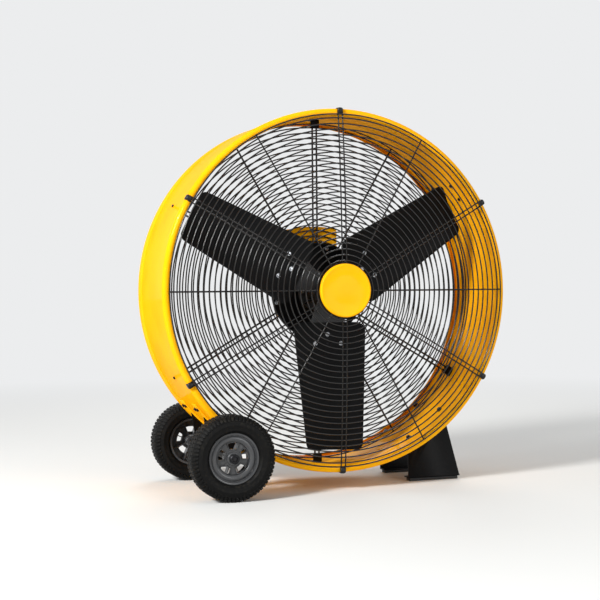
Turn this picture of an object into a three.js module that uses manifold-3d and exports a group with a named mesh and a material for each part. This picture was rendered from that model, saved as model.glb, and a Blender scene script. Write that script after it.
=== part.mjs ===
// A belt-driven drum fan on two wheels and a foot.
// Millimetres and degrees, +Z up. X runs across the fan, Y along its axis with the outlet towards -Y.
// The origin is on the floor, under the fan's axis, halfway along the drum.
import * as THREE from "three";
import { mergeVertices } from "three/addons/utils/BufferGeometryUtils.js";
import Module from "manifold-3d";

const wasm = await Module();
wasm.setup();

// ---------------------------------------------------------------- driving dimensions

const seatGap = 0.3; // left between two pieces that touch
const overcut = 1; // how far a cut runs past the face that it opens
const sink = 2; // how far a rib or stem reaches into the piece that it is cast with

// Drum: a rolled steel band, its front edge in a large roll and its rear edge in a small one
const drumRadius = 560;
const drumDepth = 354;
const floorClearance = 55; // underside of the drum above the floor
const drumSheet = 2;
const lipStep = 2; // how far the rolls stand proud of the wall
const frontRollRadius = 12;
const frontRollAngles = [215, 143, 72, 0]; // from its free edge to the wall
const rearRollRadius = 7;
const rearRollAngles = [0, 90, 190];
const grooveDepth = 3;
const grooveWidth = 12;
const grooveSetback = 24; // from the rear edge

// Wire guards
const wireRadius = 2.2;
const ringPitch = 17.5;
const rimRingInset = 19; // outermost ring inside the drum's outer radius
const rimRingPitch = 12; // between the two outermost rings
const pairedWireSpacing = 14;
const spokeClearance = 1; // between the rings and the spokes that aren't welded to them
const weldDepth = 1; // how deep one wire sinks into another where they are welded
const spokeHalfShare = 0.9; // half the width of a three-sided spoke over the wire's radius
const spokeCount = 6; // doubled spokes; as many single ones lie between them
const firstPairAngle = 30;
const frontGuardRise = 26; // how far the middle of the front guard is domed out
const frontGuardStandoff = 9.5; // rim of the front guard ahead of the drum
const guardPlateMargin = 4; // guard's middle plate outside the cap
const guardPlateSheet = 4;
const capRadius = 82;
const capDepth = 11.7;
const capEdge = 5; // radius of the cap's edge
const capSheet = 2;
const clipWidth = 20;
const clipThickness = 5.7;
const clipNose = 3; // clip's face ahead of its own thickness over the roll
const clipChamfer = 4;
const clipReach = 24; // along the outside of the front roll

// Rear guard, which carries the drive
const rearGuardSetback = 235.5; // its spokes behind the drum's front edge
const rearWireRadius = 3;
const rearSpokeGap = 9; // ends of the doubled spokes short of the drum's wall
const hoopInset = 3; // hoop inside the mounting plate's edge
const hoopWidth = 16;
const hoopRecess = 2; // between the mounting plate and the spokes' front
const firstRingGap = 1; // least gap round the mounting plate before the first ring
const bracketWidth = 30;
const bracketSheet = 3;
const bracketTab = 27;
const bracketFoot = 26;

// Rotor
const bladeTipGap = 52; // between the blades' tips and the drum's wall
const bladeRoot = 100;
const bladeSheet = 3;
const bladeCamber = 13;
const rootTwistAngle = 10;
const tipTwistAngle = 14;
const rootDownwind = 118; // blade width either side of its radial line
const tipDownwind = 105;
const rootUpwind = 114;
const tipUpwind = 72;
const tipLine = 32; // inner lines of the blade's mesh beyond the arms
const tipCorner = 20;
const rootCorner = 30;
const bladeCount = 3;
const firstBladeAngle = 30;
const armReach = 186;
const armHalfWidth = 54;
const armSheet = 6;
const armRoot = 20; // the arms start this far out, inside the boss
const armWaist = 24; // half an arm's width at the boss
const armSetback = 16; // plane of the arms behind the boss's front
const bossRadius = 34;
const bossDepth = 48;
const shaftRadius = 12.5;
const shaftFrontOverhang = 7;
const shaftRearOverhang = 3;
const collarRadius = 20;
const collarWidth = 12;
const collarStandoff = 3; // behind the mounting plate

// Bearing housing on the round mounting plate
const plateRadius = 155;
const plateSheet = 4;
const plateFlange = 12;
const plateBore = 30;
const plateChamfer = 1;
const housingRadius = 40;
const housingDepth = 76;
const housingFlangeRadius = 66;
const housingFlange = 9;
const housingRib = 8;
const housingRibs = 4;
const housingRibSetback = 12; // top of each rib behind the housing's front
const housingRibMargin = 4; // foot of each rib inside the flange's edge
const bearingRadius = 26;
const bearingWidth = 15;
const bearingShoulder = 22;
const hubToHousing = 4; // running gap between the hub and the bearing housing

// Belt drive behind the plate
const fanPulleyRadius = 65;
const motorPulleyRadius = 25;
const pulleyWidth = 16;
const pulleyGap = 5; // between the shaft collar and the pulley
const grooveInset = 9;
const beltTopWidth = 12;
const beltBottomWidth = 6;
const beltThickness = 8;
const pulleyBoss = 20;
const pulleyWeb = 6;
const motorOffset = 135; // motor above the fan's axis
const motorRadius = 66;
const motorDepth = 128;
const motorBell = 18; // depth of each end bell
const motorBellStep = 5;
const motorBellTaper = 12;
const motorBellNose = 7;
const motorShaftRadius = 8;
const motorShaftOverhang = 2; // ahead of its pulley
const motorShaftInset = 4; // short of the motor's back
const mountSheet = 3;
const mountGap = 7; // between the pulleys and the motor mount's web
const mountLegHeight = 80;
const mountLegBottom = 30;
const mountFlange = 22;
const mountHeadroom = 11; // below the top of the cover
const mountCorner = 14;
const mountShoulder = 10; // the legs' slope ends this far below the web's top
const mountPulleyGap = 4; // round the motor's pulley

// Rear cover over the motor and the belt
const coverSideGap = 12; // between the motor and the cover's sides
const coverHeadroom = 8; // between the motor and the crown of the cover
const coverFootroom = 19; // between the fan's pulley and the cover's bottom
const coverEndGap = 11.7; // between the motor and the cover's back
const coverSetback = 10.7; // its front behind the rear guard's spokes
const coverCrown = 7; // rise of the arched top
const coverCrownSteps = 6;
const coverShoulder = 6;
const coverSheet = 1.5;
const frontWallGap = 20; // between the mount's legs and the cover's front wall
const louvreCount = 6;
const louvreLength = 96;
const louvreHeight = 5;
const louvrePitch = 14;

// Speed switch, its knob and the gland for the cord, on the cover's back
const switchX = -34;
const controlsZ = -36;
const switchBody = 34;
const switchDepth = 26;
const switchStemRadius = 5;
const switchStemProud = 2;
const stemGap = 1; // round the stem in its hole
const knobRadius = 17;
const knobDepth = 16;
const knobLobes = 6;
const knobLobeDepth = 1;
const knobLobeSteps = 4;
const pointerHeight = 4;
const pointerHalfWidth = 3;
const pointerInset = 2;
const glandX = 38;
const glandRadius = 11;
const glandDepth = 16;
const glandBore = 5;
const glandNeckWall = 3;
const glandNeckDepth = 6;
const glandSides = 6;

// Wheels
const wheelRadius = 127;
const tyreWidth = 89;
const wheelGap = 24.5; // between the tyres and the drum's edges, along the axle
const axleX = -375;
const beadInset = 2; // tyre's bead inside the rim's edge
const sidewallFoot = 10; // widening of the sidewall above the bead
const sidewallDrop = 28; // widest part of the tyre below the tread
const shoulderDrop = 9;
const shoulderInset = 3;
const treadInset = 18;
const lugCount = 12;
const lugDepth = 3;
const rimRadius = 76;
const rimWidth = 66;
const rimWall = 7;
const rimChamfer = 2;
const rimChamferDepth = 4;
const windowCount = 5;
const windowInner = 28;
const windowOuter = 46;
const windowAngle = 40;
const firstWindowAngle = 90;
const webSheet = 6;
const webInset = 16; // outboard face of the web inside the rim
const dishRadius = 49; // the web is recessed within a raised band
const dishDepth = 8;
const wheelRibs = 8;
const ribSheet = 3;
const ribDepth = 22;
const ribRingRadius = 47;
const ribRingInset = 4; // ring short of the ribs' back
const wheelBoss = 20;
const bossRecess = 4; // boss inside the rim's outboard face
const axleRadius = 8;
const bushWall = 2.5;
const bushInset = 2; // bush short of the rim's faces
const spacerWall = 3;
const axleCollarRadius = 14;
const axleCollarDepth = 8;
const axleCollarCover = 3; // axle's end inside the collar's outer face

// Axle brackets
const axleBracketOffset = 76; // either side of the drum's middle
const axleBracketSheet = 5;
const axleEyeRadius = 24;
const saddleWidth = 44;
const saddleSheet = 4;
const saddleAngle = 30;
const saddleMarginAngle = 5; // plate short of the saddle's ends

// Foot opposite the wheels
const footFrontInset = 97; // behind the drum's front edge
const footBackInset = 17; // ahead of its rear edge
const footSheet = 4;
const footInnerInset = 298; // inner edge of the foot in from the drum's side
const footTopInset = 173; // upper end of its saddle
const footOuterInset = 117; // its outer edge on the floor
const footFlange = 34;
const padHeight = 10;
const padInset = 6;
const padMargin = 2;

// Handle
const handleFlat = 3; // on which flat of the drum's wall, counted up from the right
const handleFront = -38;
const handleSpan = 140;
const handleHeight = 42;
const handleTube = 11;
const handleBend = 24;
const handleFootLength = 76;
const handleFootWidth = 30;
const handleFootSheet = 4;
const gripWall = 3;
const gripLength = 78;

// Facets
const facetsPerSpoke = 3; // flats of the drum between a spoke and the next, so spokes meet its corners
const plateFacets = 24;
const pulleyFacets = 20;
const roundFacets = 16;
const smallFacets = 12;
const tubeFacets = 8;
const tubeSteps = 12;
const arcSteps = 6;
const beltSteps = 14; // round the large pulley; half as many round the small one
const ringFlatness = 8; // how far a guard ring's flats may lie inside its true circle

// ---------------------------------------------------------------- derived places

const fullTurn = 360;
const halfTurn = fullTurn / 2;
const quarterTurn = fullTurn / 4;
const eighthTurn = fullTurn / 8;
const radians = THREE.MathUtils.degToRad;
const degrees = THREE.MathUtils.radToDeg;
const spread = (count, first) => Array.from({ length: count }, (_, i) => first + (i * fullTurn) / count);

const pairAngles = spread(spokeCount, firstPairAngle);
const bladeAngles = spread(bladeCount, firstBladeAngle);
const drumFacets = 2 * spokeCount * facetsPerSpoke;
const halfFacet = Math.PI / drumFacets;

const axisHeight = drumRadius + floorClearance;
const drumFront = -drumDepth / 2;
const wallOuter = drumRadius - lipStep;
const wallInner = wallOuter - drumSheet;
const wallFlat = wallOuter * Math.cos(halfFacet);
const rimRingRadius = drumRadius - rimRingInset;
const guardPlateRadius = capRadius + guardPlateMargin;
const rearGuardY = drumFront + rearGuardSetback;
const rearSpokeEnd = wallInner - rearSpokeGap;
const hoopOuter = plateRadius - hoopInset;
const hoopInner = hoopOuter - hoopWidth;
const bladeTip = wallInner - bladeTipGap;

const plateBack = rearGuardY - rearWireRadius - hoopRecess - seatGap;
const plateFront = plateBack - plateSheet;
const housingFront = plateFront - seatGap - housingDepth;
const bossBack = housingFront - hubToHousing;
const bossFront = bossBack - bossDepth;
const bladePlane = bossFront + armSetback;

const collarFront = plateBack + collarStandoff;
const pulleyFront = collarFront + collarWidth + pulleyGap;
const pulleyMiddle = pulleyFront + pulleyWidth / 2;
const pulleyBack = pulleyFront + pulleyWidth;
const mountWeb = pulleyBack + mountGap;
const mountLegTop = mountLegBottom + mountLegHeight;
const motorFront = mountWeb + mountSheet + seatGap;
const motorBack = motorFront + motorDepth;

const coverHalf = motorRadius + coverSideGap;
const coverTop = motorOffset + motorRadius + coverHeadroom;
const coverBottom = -fanPulleyRadius - coverFootroom;
const coverFront = rearGuardY + coverSetback;
const coverBack = motorBack + coverEndGap;
const controlsY = coverBack + seatGap;

const wheelOffset = drumDepth / 2 + wheelGap + tyreWidth / 2;
const axleZ = wheelRadius;
const axleBelow = axleZ - axisHeight;
const axleAngle = fullTurn + degrees(Math.atan2(axleBelow, axleX));
const axleCollarFace = wheelOffset + rimWidth / 2 + seatGap;
const axleEnd = axleCollarFace + axleCollarDepth - axleCollarCover;
const bushHalf = rimWidth / 2 - bushInset;

const footFront = drumFront + footFrontInset;
const footBack = -drumFront - footBackInset;
const footInnerX = drumRadius - footInnerInset;
const footTopX = drumRadius - footTopInset;
const footOuterX = drumRadius - footOuterInset;
const footFloor = padHeight + seatGap;
const handleAngle = ((handleFlat + 0.5) * fullTurn) / drumFacets;
const handleBase = wallFlat + seatGap;
const handleBack = handleFront + handleSpan;

// ---------------------------------------------------------------- general helpers

// Six times the signed volume inside an indexed triangle mesh.
function signedVolume(position, index) {
  const a = new THREE.Vector3();
  const b = new THREE.Vector3();
  const c = new THREE.Vector3();
  let sum = 0;
  for (let i = 0; i < index.count; i += 3) {
    a.fromBufferAttribute(position, index.getX(i));
    b.fromBufferAttribute(position, index.getX(i + 1));
    c.fromBufferAttribute(position, index.getX(i + 2));
    sum += a.dot(b.cross(c));
  }
  return sum;
}

// Merges a closed geometry's shared corners and turns its faces outwards.
function tidy(geometry) {
  const bare = geometry.clone();
  bare.deleteAttribute("normal");
  bare.deleteAttribute("uv");
  const merged = mergeVertices(bare, 1e-4);
  if (signedVolume(merged.attributes.position, merged.index) < 0) {
    const order = merged.index.array;
    for (let i = 0; i < order.length; i += 3) {
      [order[i + 1], order[i + 2]] = [order[i + 2], order[i + 1]];
    }
  }
  return merged;
}

function solidOf(geometry) {
  const merged = tidy(geometry);
  return new wasm.Manifold(
    new wasm.Mesh({
      numProp: 3,
      vertProperties: merged.attributes.position.array,
      triVerts: new Uint32Array(merged.index.array),
    }),
  );
}

function geometryOf(solid) {
  const made = solid.getMesh();
  return new THREE.BufferGeometry()
    .setAttribute("position", new THREE.BufferAttribute(made.vertProperties, 3))
    .setIndex(new THREE.BufferAttribute(made.triVerts, 1));
}

function join(...geometries) {
  return geometryOf(geometries.map(solidOf).reduce((sum, next) => sum.add(next)));
}

function cut(body, ...tools) {
  return geometryOf(tools.map(solidOf).reduce((left, tool) => left.subtract(tool), solidOf(body)));
}

// A profile of [radius, y] points turned round the Y axis; it starts and ends on the axis or closes.
function revolve(profile, facets = roundFacets) {
  const onAxis = profile[0][0] === 0;
  const points = (onAxis ? profile : [...profile, profile[0]]).map(([r, y]) => new THREE.Vector2(r, y));
  return tidy(new THREE.LatheGeometry(points, facets));
}

// A round bar along Y from y0 to y1.
function rod(radius, y0, y1, facets = roundFacets) {
  return new THREE.CylinderGeometry(radius, radius, y1 - y0, facets).translate(0, (y0 + y1) / 2, 0);
}

// A bore's radius, widened so that a round of the given radius fits inside its flats.
function bored(radius, facets = roundFacets) {
  return radius / Math.cos(Math.PI / facets);
}

// A tube along Y round a bar of the bore's radius.
function sleeve(outer, bore, y0, y1, facets = roundFacets) {
  const inner = bored(bore, facets);
  return revolve([[inner, y0], [outer, y0], [outer, y1], [inner, y1]], facets);
}

// A block between two opposite corners.
function block([x0, y0, z0], [x1, y1, z1]) {
  const box = new THREE.BoxGeometry(x1 - x0, y1 - y0, z1 - z0);
  return box.translate((x0 + x1) / 2, (y0 + y1) / 2, (z0 + z1) / 2);
}

// A flat outline thickened along Z from z0 to z1.
function plank(shape, z0, z1) {
  const board = new THREE.ExtrudeGeometry(shape, { depth: z1 - z0, bevelEnabled: false });
  return board.translate(0, 0, z0);
}

// A flat outline in the XZ plane, thickened from y0 to y1.
function slab(shape, y0, y1) {
  return plank(shape, 0, y1 - y0).rotateX(Math.PI / 2).translate(0, y1, 0);
}

function outline(points, ...holes) {
  const shape = new THREE.Shape(points.map(([x, y]) => new THREE.Vector2(x, y)));
  shape.holes.push(...holes.map((hole) => outline(hole)));
  return shape;
}

// Points along an arc, for an outline.
function arc(centreX, centreY, radius, from, to, steps) {
  return Array.from({ length: steps + 1 }, (_, i) => {
    const turn = radians(from + ((to - from) * i) / steps);
    return [centreX + radius * Math.cos(turn), centreY + radius * Math.sin(turn)];
  });
}

function circle(centreX, centreY, radius, steps) {
  return arc(centreX, centreY, radius, 0, fullTurn - fullTurn / steps, steps - 1);
}

// Fills a closed section of `count` corners, the first of which is `first`, with a fan-free strip.
function endCap(first, count, facing) {
  const faces = [];
  for (let i = 0; i < Math.floor((count - 1) / 2); i++) {
    const near = first + i;
    const far = first + count - 1 - i;
    const strip = [[near, far, far - 1]];
    if (near + 1 < far - 1) strip.push([near, far - 1, near + 1]);
    faces.push(...strip.flatMap(([a, b, c]) => (facing > 0 ? [a, b, c] : [a, c, b])));
  }
  return faces;
}

// A skin through closed sections with the same number of points, capped at its ends or joined in a loop.
function loft(sections, looped = false) {
  const count = sections[0].length;
  const spans = looped ? sections.length : sections.length - 1;
  const faces = [];
  for (let s = 0; s < spans; s++) {
    const here = s * count;
    const next = ((s + 1) % sections.length) * count;
    for (let i = 0; i < count; i++) {
      const j = (i + 1) % count;
      faces.push(here + i, here + j, next + j, here + i, next + j, next + i);
    }
  }
  if (!looped) faces.push(...endCap(0, count, 1), ...endCap(spans * count, count, -1));
  const position = sections.flat().flatMap((p) => [p.x, p.y, p.z]);
  const geometry = new THREE.BufferGeometry();
  geometry.setAttribute("position", new THREE.Float32BufferAttribute(position, 3));
  geometry.setIndex(faces);
  return tidy(geometry);
}

function finish(color, roughness, metalness) {
  return () => new THREE.MeshStandardMaterial({ color, roughness, metalness });
}

function mesh(name, geometry, material) {
  const shaded = geometry.index ? geometry.toNonIndexed() : geometry;
  shaded.computeVertexNormals();
  const made = new THREE.Mesh(shaded, material());
  made.name = name;
  return made;
}

function turned(geometry, angle) {
  return geometry.rotateY(-radians(angle));
}

// A group turned round the fan's axis: its +X points outwards at the angle, its +Z along the turn.
function atAngle(angle, ...children) {
  const group = new THREE.Group();
  group.rotation.y = -radians(angle);
  group.add(...children);
  return group;
}

// ---------------------------------------------------------------- finishes

const yellowCoat = finish("#f5b81a", 0.35, 0.1);
const blackCoat = finish("#161616", 0.45, 0.2);
const blackPlastic = finish("#1b1b1b", 0.55, 0);
const greyPlastic = finish("#4a4b4d", 0.5, 0);
const rubber = finish("#191919", 0.85, 0);
const steel = finish("#a9abad", 0.35, 0.9);
const castIron = finish("#3a3b3c", 0.6, 0.6);

// ---------------------------------------------------------------- drum

// Thickens a centreline of [radius, y] points into a closed profile of sheet metal.
function sheetProfile(line, sheet) {
  const side = (sign) =>
    line.map(([r, y], i) => {
      const [r0, y0] = line[Math.max(i - 1, 0)];
      const [r1, y1] = line[Math.min(i + 1, line.length - 1)];
      const offset = (sign * sheet) / 2 / Math.hypot(r1 - r0, y1 - y0);
      return [r - (y1 - y0) * offset, y + (r1 - r0) * offset];
    });
  return [...side(1), ...side(-1).reverse()];
}

// The centreline of a rolled edge; `facing` is -1 for the front edge and 1 for the rear.
function rolledEdge(radius, facing, angles) {
  const line = radius - drumSheet / 2;
  const centreY = facing * (drumDepth / 2 - radius);
  return angles.map((angle) => [
    drumRadius - radius + line * Math.cos(radians(angle)),
    centreY + facing * line * Math.sin(radians(angle)),
  ]);
}

function drumShell() {
  const wallLine = wallOuter - drumSheet / 2;
  const groove = -drumFront - grooveSetback;
  const line = [
    ...rolledEdge(frontRollRadius, -1, frontRollAngles),
    [wallLine, drumFront + 2 * frontRollRadius],
    [wallLine, groove - grooveWidth / 2],
    [wallLine - grooveDepth, groove],
    [wallLine, groove + grooveWidth / 2],
    ...rolledEdge(rearRollRadius, 1, rearRollAngles),
  ];
  return mesh("drum_shell", revolve(sheetProfile(line, drumSheet), drumFacets), yellowCoat);
}

// ---------------------------------------------------------------- wire guards

// One ring of wire with three flats, a flat side towards `facing` (-1 is the front).
function guardRing(radius, y, facing) {
  const corners = spread(3, quarterTurn).map((angle) => [
    radius + wireRadius * Math.cos(radians(angle)),
    y - facing * wireRadius * Math.sin(radians(angle)),
  ]);
  const facets = Math.round(Math.PI * Math.sqrt(radius / (2 * ringFlatness)));
  return revolve(corners, facets);
}

// A three-sided wire in a radial plane, through [radius, y] points, set off sideways by z.
function spokeWire(points, halfWidth, z) {
  const sections = points.map(([r, y]) => [
    new THREE.Vector3(r, y - halfWidth, z - halfWidth),
    new THREE.Vector3(r, y - halfWidth, z + halfWidth),
    new THREE.Vector3(r, y + halfWidth, z),
  ]);
  return loft(sections);
}

function ringRadii(smallest) {
  const radii = [rimRingRadius];
  for (let r = rimRingRadius - rimRingPitch; r >= smallest; r -= ringPitch) radii.push(r);
  return radii;
}

// Depth of the front guard's rings at a radius: a shallow dome.
function frontGuardY(radius) {
  const fall = (radius / rimRingRadius) ** 2;
  return drumFront - frontGuardStandoff - frontGuardRise * (1 - fall);
}

// Doubled and single spokes along the rings' inner side. Each lies clear of the rings but for the
// rim ring, and one of them is sunk into every ring and joins them.
function guardSpokes({ depthAt, stations, halfWidth, rest, sunk }) {
  const pairedEnd = stations.at(-1);
  const path = (offset, end) =>
    [...stations.filter((r) => r < end), end].map((r) => [r, depthAt(r) + offset]);
  const half = pairedWireSpacing / 2;
  const pairs = pairAngles.flatMap((angle) =>
    [-half, half].map((z) => turned(spokeWire(path(rest, pairedEnd), halfWidth, z), angle)),
  );
  const singles = spread(spokeCount, 0).map((angle, i) => {
    const offset = i === 0 ? sunk : rest;
    return turned(spokeWire(path(offset, rimRingRadius), halfWidth, 0), angle);
  });
  return [...pairs, ...singles];
}

function frontGuard() {
  const halfWidth = wireRadius * spokeHalfShare;
  const touching = wireRadius + halfWidth;
  const rimShift = spokeClearance + weldDepth;
  const wires = ringRadii(guardPlateRadius + 2 * wireRadius).map((r, i) =>
    guardRing(r, frontGuardY(r) + (i ? 0 : rimShift), -1),
  );
  const inner = (capRadius + guardPlateRadius) / 2;
  const spokes = guardSpokes({
    depthAt: frontGuardY,
    stations: [inner, (inner + rimRingRadius) / 2, rimRingRadius],
    halfWidth,
    rest: touching + spokeClearance,
    sunk: touching - 2 * weldDepth,
  });
  const front = frontGuardY(0) + wireRadius + seatGap;
  const plate = rod(guardPlateRadius, front, front + guardPlateSheet, plateFacets);
  return mesh("front_grille", join(...wires, plate, ...spokes), blackCoat);
}

// The cap over the middle of the front guard: a pressed pan with a soft edge, left plain.
function frontCap() {
  const back = frontGuardY(0) + wireRadius;
  const face = back - capDepth;
  const inside = capRadius - capSheet;
  const profile = [
    [0, face],
    ...arc(capRadius - capEdge, face + capEdge, capEdge, -quarterTurn, 0, 2),
    [capRadius, back],
    [inside, back],
    [inside, face + capEdge],
    [inside - capEdge, face + capSheet],
    [0, face + capSheet],
  ];
  return mesh("front_hub_cap", revolve(profile, plateFacets), yellowCoat);
}

// A moulded cap on the end of each doubled spoke, hooked over the front roll.
function frontClip(angle, index) {
  const seat = drumFront - seatGap;
  const face = seat - clipThickness - clipNose;
  const rim = rimRingRadius + wireRadius + seatGap;
  const inner = drumRadius + seatGap;
  const outer = inner + clipThickness;
  const shape = outline([
    [rim, seat],
    [rim, face],
    [outer - clipChamfer, face],
    [outer, face + clipChamfer],
    [outer, drumFront + clipReach],
    [inner, drumFront + clipReach],
    [inner, seat],
  ]);
  const body = plank(shape, -clipWidth / 2, clipWidth / 2);
  return atAngle(angle, mesh(`front_grille_clip_${index + 1}`, body, blackPlastic));
}

function rearGuard() {
  const halfWidth = rearWireRadius * spokeHalfShare;
  const touching = halfWidth + wireRadius;
  const wires = ringRadii(plateRadius + firstRingGap).map((r, i) =>
    guardRing(r, rearGuardY + touching + (i ? spokeClearance : -weldDepth), 1),
  );
  const spokes = guardSpokes({
    depthAt: () => rearGuardY,
    stations: [(hoopInner + hoopOuter) / 2, rearSpokeEnd],
    halfWidth,
    rest: 0,
    sunk: spokeClearance + weldDepth,
  });
  const front = plateBack + seatGap;
  const back = rearGuardY - halfWidth + weldDepth / 2;
  const profile = [[hoopInner, front], [hoopOuter, front], [hoopOuter, back], [hoopInner, back]];
  return mesh("rear_grille", join(...wires, revolve(profile, plateFacets), ...spokes), blackCoat);
}

// An angle bracket that holds the end of a doubled rear spoke to a corner of the drum's wall.
function rearBracket(angle, index) {
  const seat = wallInner - (bracketWidth / 2) * Math.tan(halfFacet) - seatGap;
  const tabBack = rearGuardY - rearWireRadius * spokeHalfShare - seatGap;
  const tabFront = tabBack - bracketSheet;
  const shape = outline([
    [seat - bracketTab, tabFront],
    [seat, tabFront],
    [seat, tabFront + bracketFoot],
    [seat - bracketSheet, tabFront + bracketFoot],
    [seat - bracketSheet, tabBack],
    [seat - bracketTab, tabBack],
  ]);
  const body = plank(shape, -bracketWidth / 2, bracketWidth / 2);
  return atAngle(angle, mesh(`rear_grille_bracket_${index + 1}`, body, blackCoat));
}

// ---------------------------------------------------------------- rotor

function alongBlade(r, atRoot, atTip) {
  return THREE.MathUtils.mapLinear(r, bladeRoot, bladeTip, atRoot, atTip);
}

// A point of the blade's sheet: r out along the blade, v across it, shifted back by `behind`.
function bladePoint(r, v, behind) {
  const down = alongBlade(r, rootDownwind, tipDownwind);
  const up = alongBlade(r, rootUpwind, tipUpwind);
  const across = (v - (down - up) / 2) / ((down + up) / 2);
  const twist = radians(alongBlade(r, rootTwistAngle, tipTwistAngle));
  const bulge = bladeCamber * (1 - across * across);
  return new THREE.Vector3(r, bladePlane - v * Math.sin(twist) + bulge + behind, v * Math.cos(twist));
}

// The lines that run along the blade; the inner three follow the arms as far as these reach.
function bladeLines(r, inset) {
  const down = alongBlade(r, rootDownwind, tipDownwind) - inset;
  const up = alongBlade(r, rootUpwind, tipUpwind) - inset;
  const inner = r > armReach ? tipLine : armHalfWidth;
  return [-up, -inner, 0, inner, down];
}

// A strip of the curved sheet across the blade at r, as a closed section.
function bladeSection(r, lines, front, sheet) {
  const forward = lines.map((v) => bladePoint(r, v, front));
  const backward = lines.map((v) => bladePoint(r, v, front + sheet));
  return [...forward, ...backward.reverse()];
}

function blade(angle, index) {
  const station = (r, inset) => bladeSection(r, bladeLines(r, inset), -bladeSheet / 2, bladeSheet);
  const corner = (end, inwards, radius) =>
    [quarterTurn, eighthTurn, 0].map((turn) => {
      const along = end + inwards * radius * (1 - Math.sin(radians(turn)));
      return station(along, radius * (1 - Math.cos(radians(turn))));
    });
  const sections = [
    ...corner(bladeRoot, 1, rootCorner),
    station(armReach, 0),
    station((armReach + bladeTip) / 2, 0),
    ...corner(bladeTip, -1, tipCorner).reverse(),
  ];
  return atAngle(angle, mesh(`blade_${index + 1}`, loft(sections), blackCoat));
}

// The hub: a bored boss with an arm behind each blade, shaped to the blade's back.
function bladeHub() {
  const section = (r, half) =>
    bladeSection(r, [-half, 0, half], bladeSheet / 2 + seatGap, armSheet);
  const arm = (angle) => {
    const sections = [
      section(armRoot, armWaist),
      section(bladeRoot, armHalfWidth),
      section(bladeRoot + rootCorner, armHalfWidth),
      section(armReach, armHalfWidth),
    ];
    return turned(loft(sections), angle);
  };
  const boss = rod(bossRadius, bossFront, bossBack);
  const bore = rod(bored(shaftRadius + seatGap), bossFront - overcut, bossBack + overcut);
  return mesh("blade_hub", cut(join(boss, ...bladeAngles.map(arm)), bore), castIron);
}

function fanShaft() {
  const shaft = rod(shaftRadius, bossFront - shaftFrontOverhang, pulleyBack + shaftRearOverhang);
  return mesh("fan_shaft", shaft, steel);
}

function shaftCollar() {
  const bore = shaftRadius + seatGap;
  const ring = sleeve(collarRadius, bore, collarFront, collarFront + collarWidth, smallFacets);
  return mesh("shaft_collar", ring, steel);
}

// ---------------------------------------------------------------- bearings and mounting plate

function mountingPlate() {
  const inside = plateRadius - plateSheet;
  const lip = plateFront - plateFlange;
  const profile = [
    [plateBore, plateFront],
    [inside, plateFront],
    [inside, lip],
    [plateRadius, lip],
    [plateRadius, plateBack - plateChamfer],
    [plateRadius - plateChamfer, plateBack],
    [plateBore, plateBack],
  ];
  return mesh("mounting_plate", revolve(profile, plateFacets), blackCoat);
}

function bearingHousing() {
  const back = plateFront - seatGap;
  const flangeFront = back - housingFlange;
  const seat = bored(bearingRadius + seatGap);
  const seatDepth = bearingWidth + seatGap;
  const body = revolve([
    [seat, housingFront],
    [housingRadius, housingFront],
    [housingRadius, flangeFront],
    [housingFlangeRadius, flangeFront],
    [housingFlangeRadius, back],
    [seat, back],
    [seat, back - seatDepth],
    [bearingShoulder, back - seatDepth],
    [bearingShoulder, housingFront + seatDepth],
    [seat, housingFront + seatDepth],
  ]);
  const gusset = outline([
    [housingRadius - sink, housingFront + housingRibSetback],
    [housingFlangeRadius - housingRibMargin, flangeFront + sink],
    [housingRadius - sink, flangeFront + sink],
  ]);
  const rib = plank(gusset, -housingRib / 2, housingRib / 2);
  const ribs = spread(housingRibs, halfTurn / housingRibs).map((angle) => turned(rib.clone(), angle));
  return mesh("bearing_housing", join(body, ...ribs), castIron);
}

function bearing(name, front) {
  const bore = shaftRadius + seatGap;
  return mesh(name, sleeve(bearingRadius, bore, front, front + bearingWidth, smallFacets), steel);
}

// ---------------------------------------------------------------- belt drive

// The grooved rim of a V-belt pulley, as the outer half of its profile.
function beltGroove(radius) {
  const top = beltTopWidth / 2 + 2 * seatGap;
  const bottom = beltBottomWidth / 2 + seatGap;
  return [
    [radius, pulleyFront],
    [radius, pulleyMiddle - top],
    [radius - grooveInset, pulleyMiddle - bottom],
    [radius - grooveInset, pulleyMiddle + bottom],
    [radius, pulleyMiddle + top],
    [radius, pulleyBack],
  ];
}

// The fan's pulley has a web recessed at the back, between its boss and its rim.
function fanPulley() {
  const bore = bored(shaftRadius + seatGap, pulleyFacets);
  const rimInside = fanPulleyRadius - grooveInset - pulleyWeb;
  const profile = [
    [bore, pulleyFront],
    ...beltGroove(fanPulleyRadius),
    [rimInside, pulleyBack],
    [rimInside, pulleyFront + pulleyWeb],
    [pulleyBoss, pulleyFront + pulleyWeb],
    [pulleyBoss, pulleyBack],
    [bore, pulleyBack],
  ];
  return mesh("fan_pulley", revolve(profile, pulleyFacets), castIron);
}

function motorPulley() {
  const bore = bored(motorShaftRadius + seatGap);
  const profile = [[bore, pulleyFront], ...beltGroove(motorPulleyRadius), [bore, pulleyBack]];
  return mesh("motor_pulley", revolve(profile).translate(0, 0, motorOffset), castIron);
}

// The belt's sections round one pulley, from one angle to another.
function beltArc(radius, centreZ, from, to, steps) {
  const opened = (radius - beltThickness) / Math.cos(radians(to - from) / steps / 2);
  const top = beltTopWidth / 2;
  const bottom = beltBottomWidth / 2;
  const edge = (r, y) =>
    arc(0, centreZ, r, from, to, steps).map(([x, z]) => new THREE.Vector3(x, pulleyMiddle + y, z));
  const edges = [edge(radius, -top), edge(radius, top), edge(opened, bottom), edge(opened, -bottom)];
  return edges[0].map((_, i) => edges.map((points) => points[i]));
}

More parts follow.
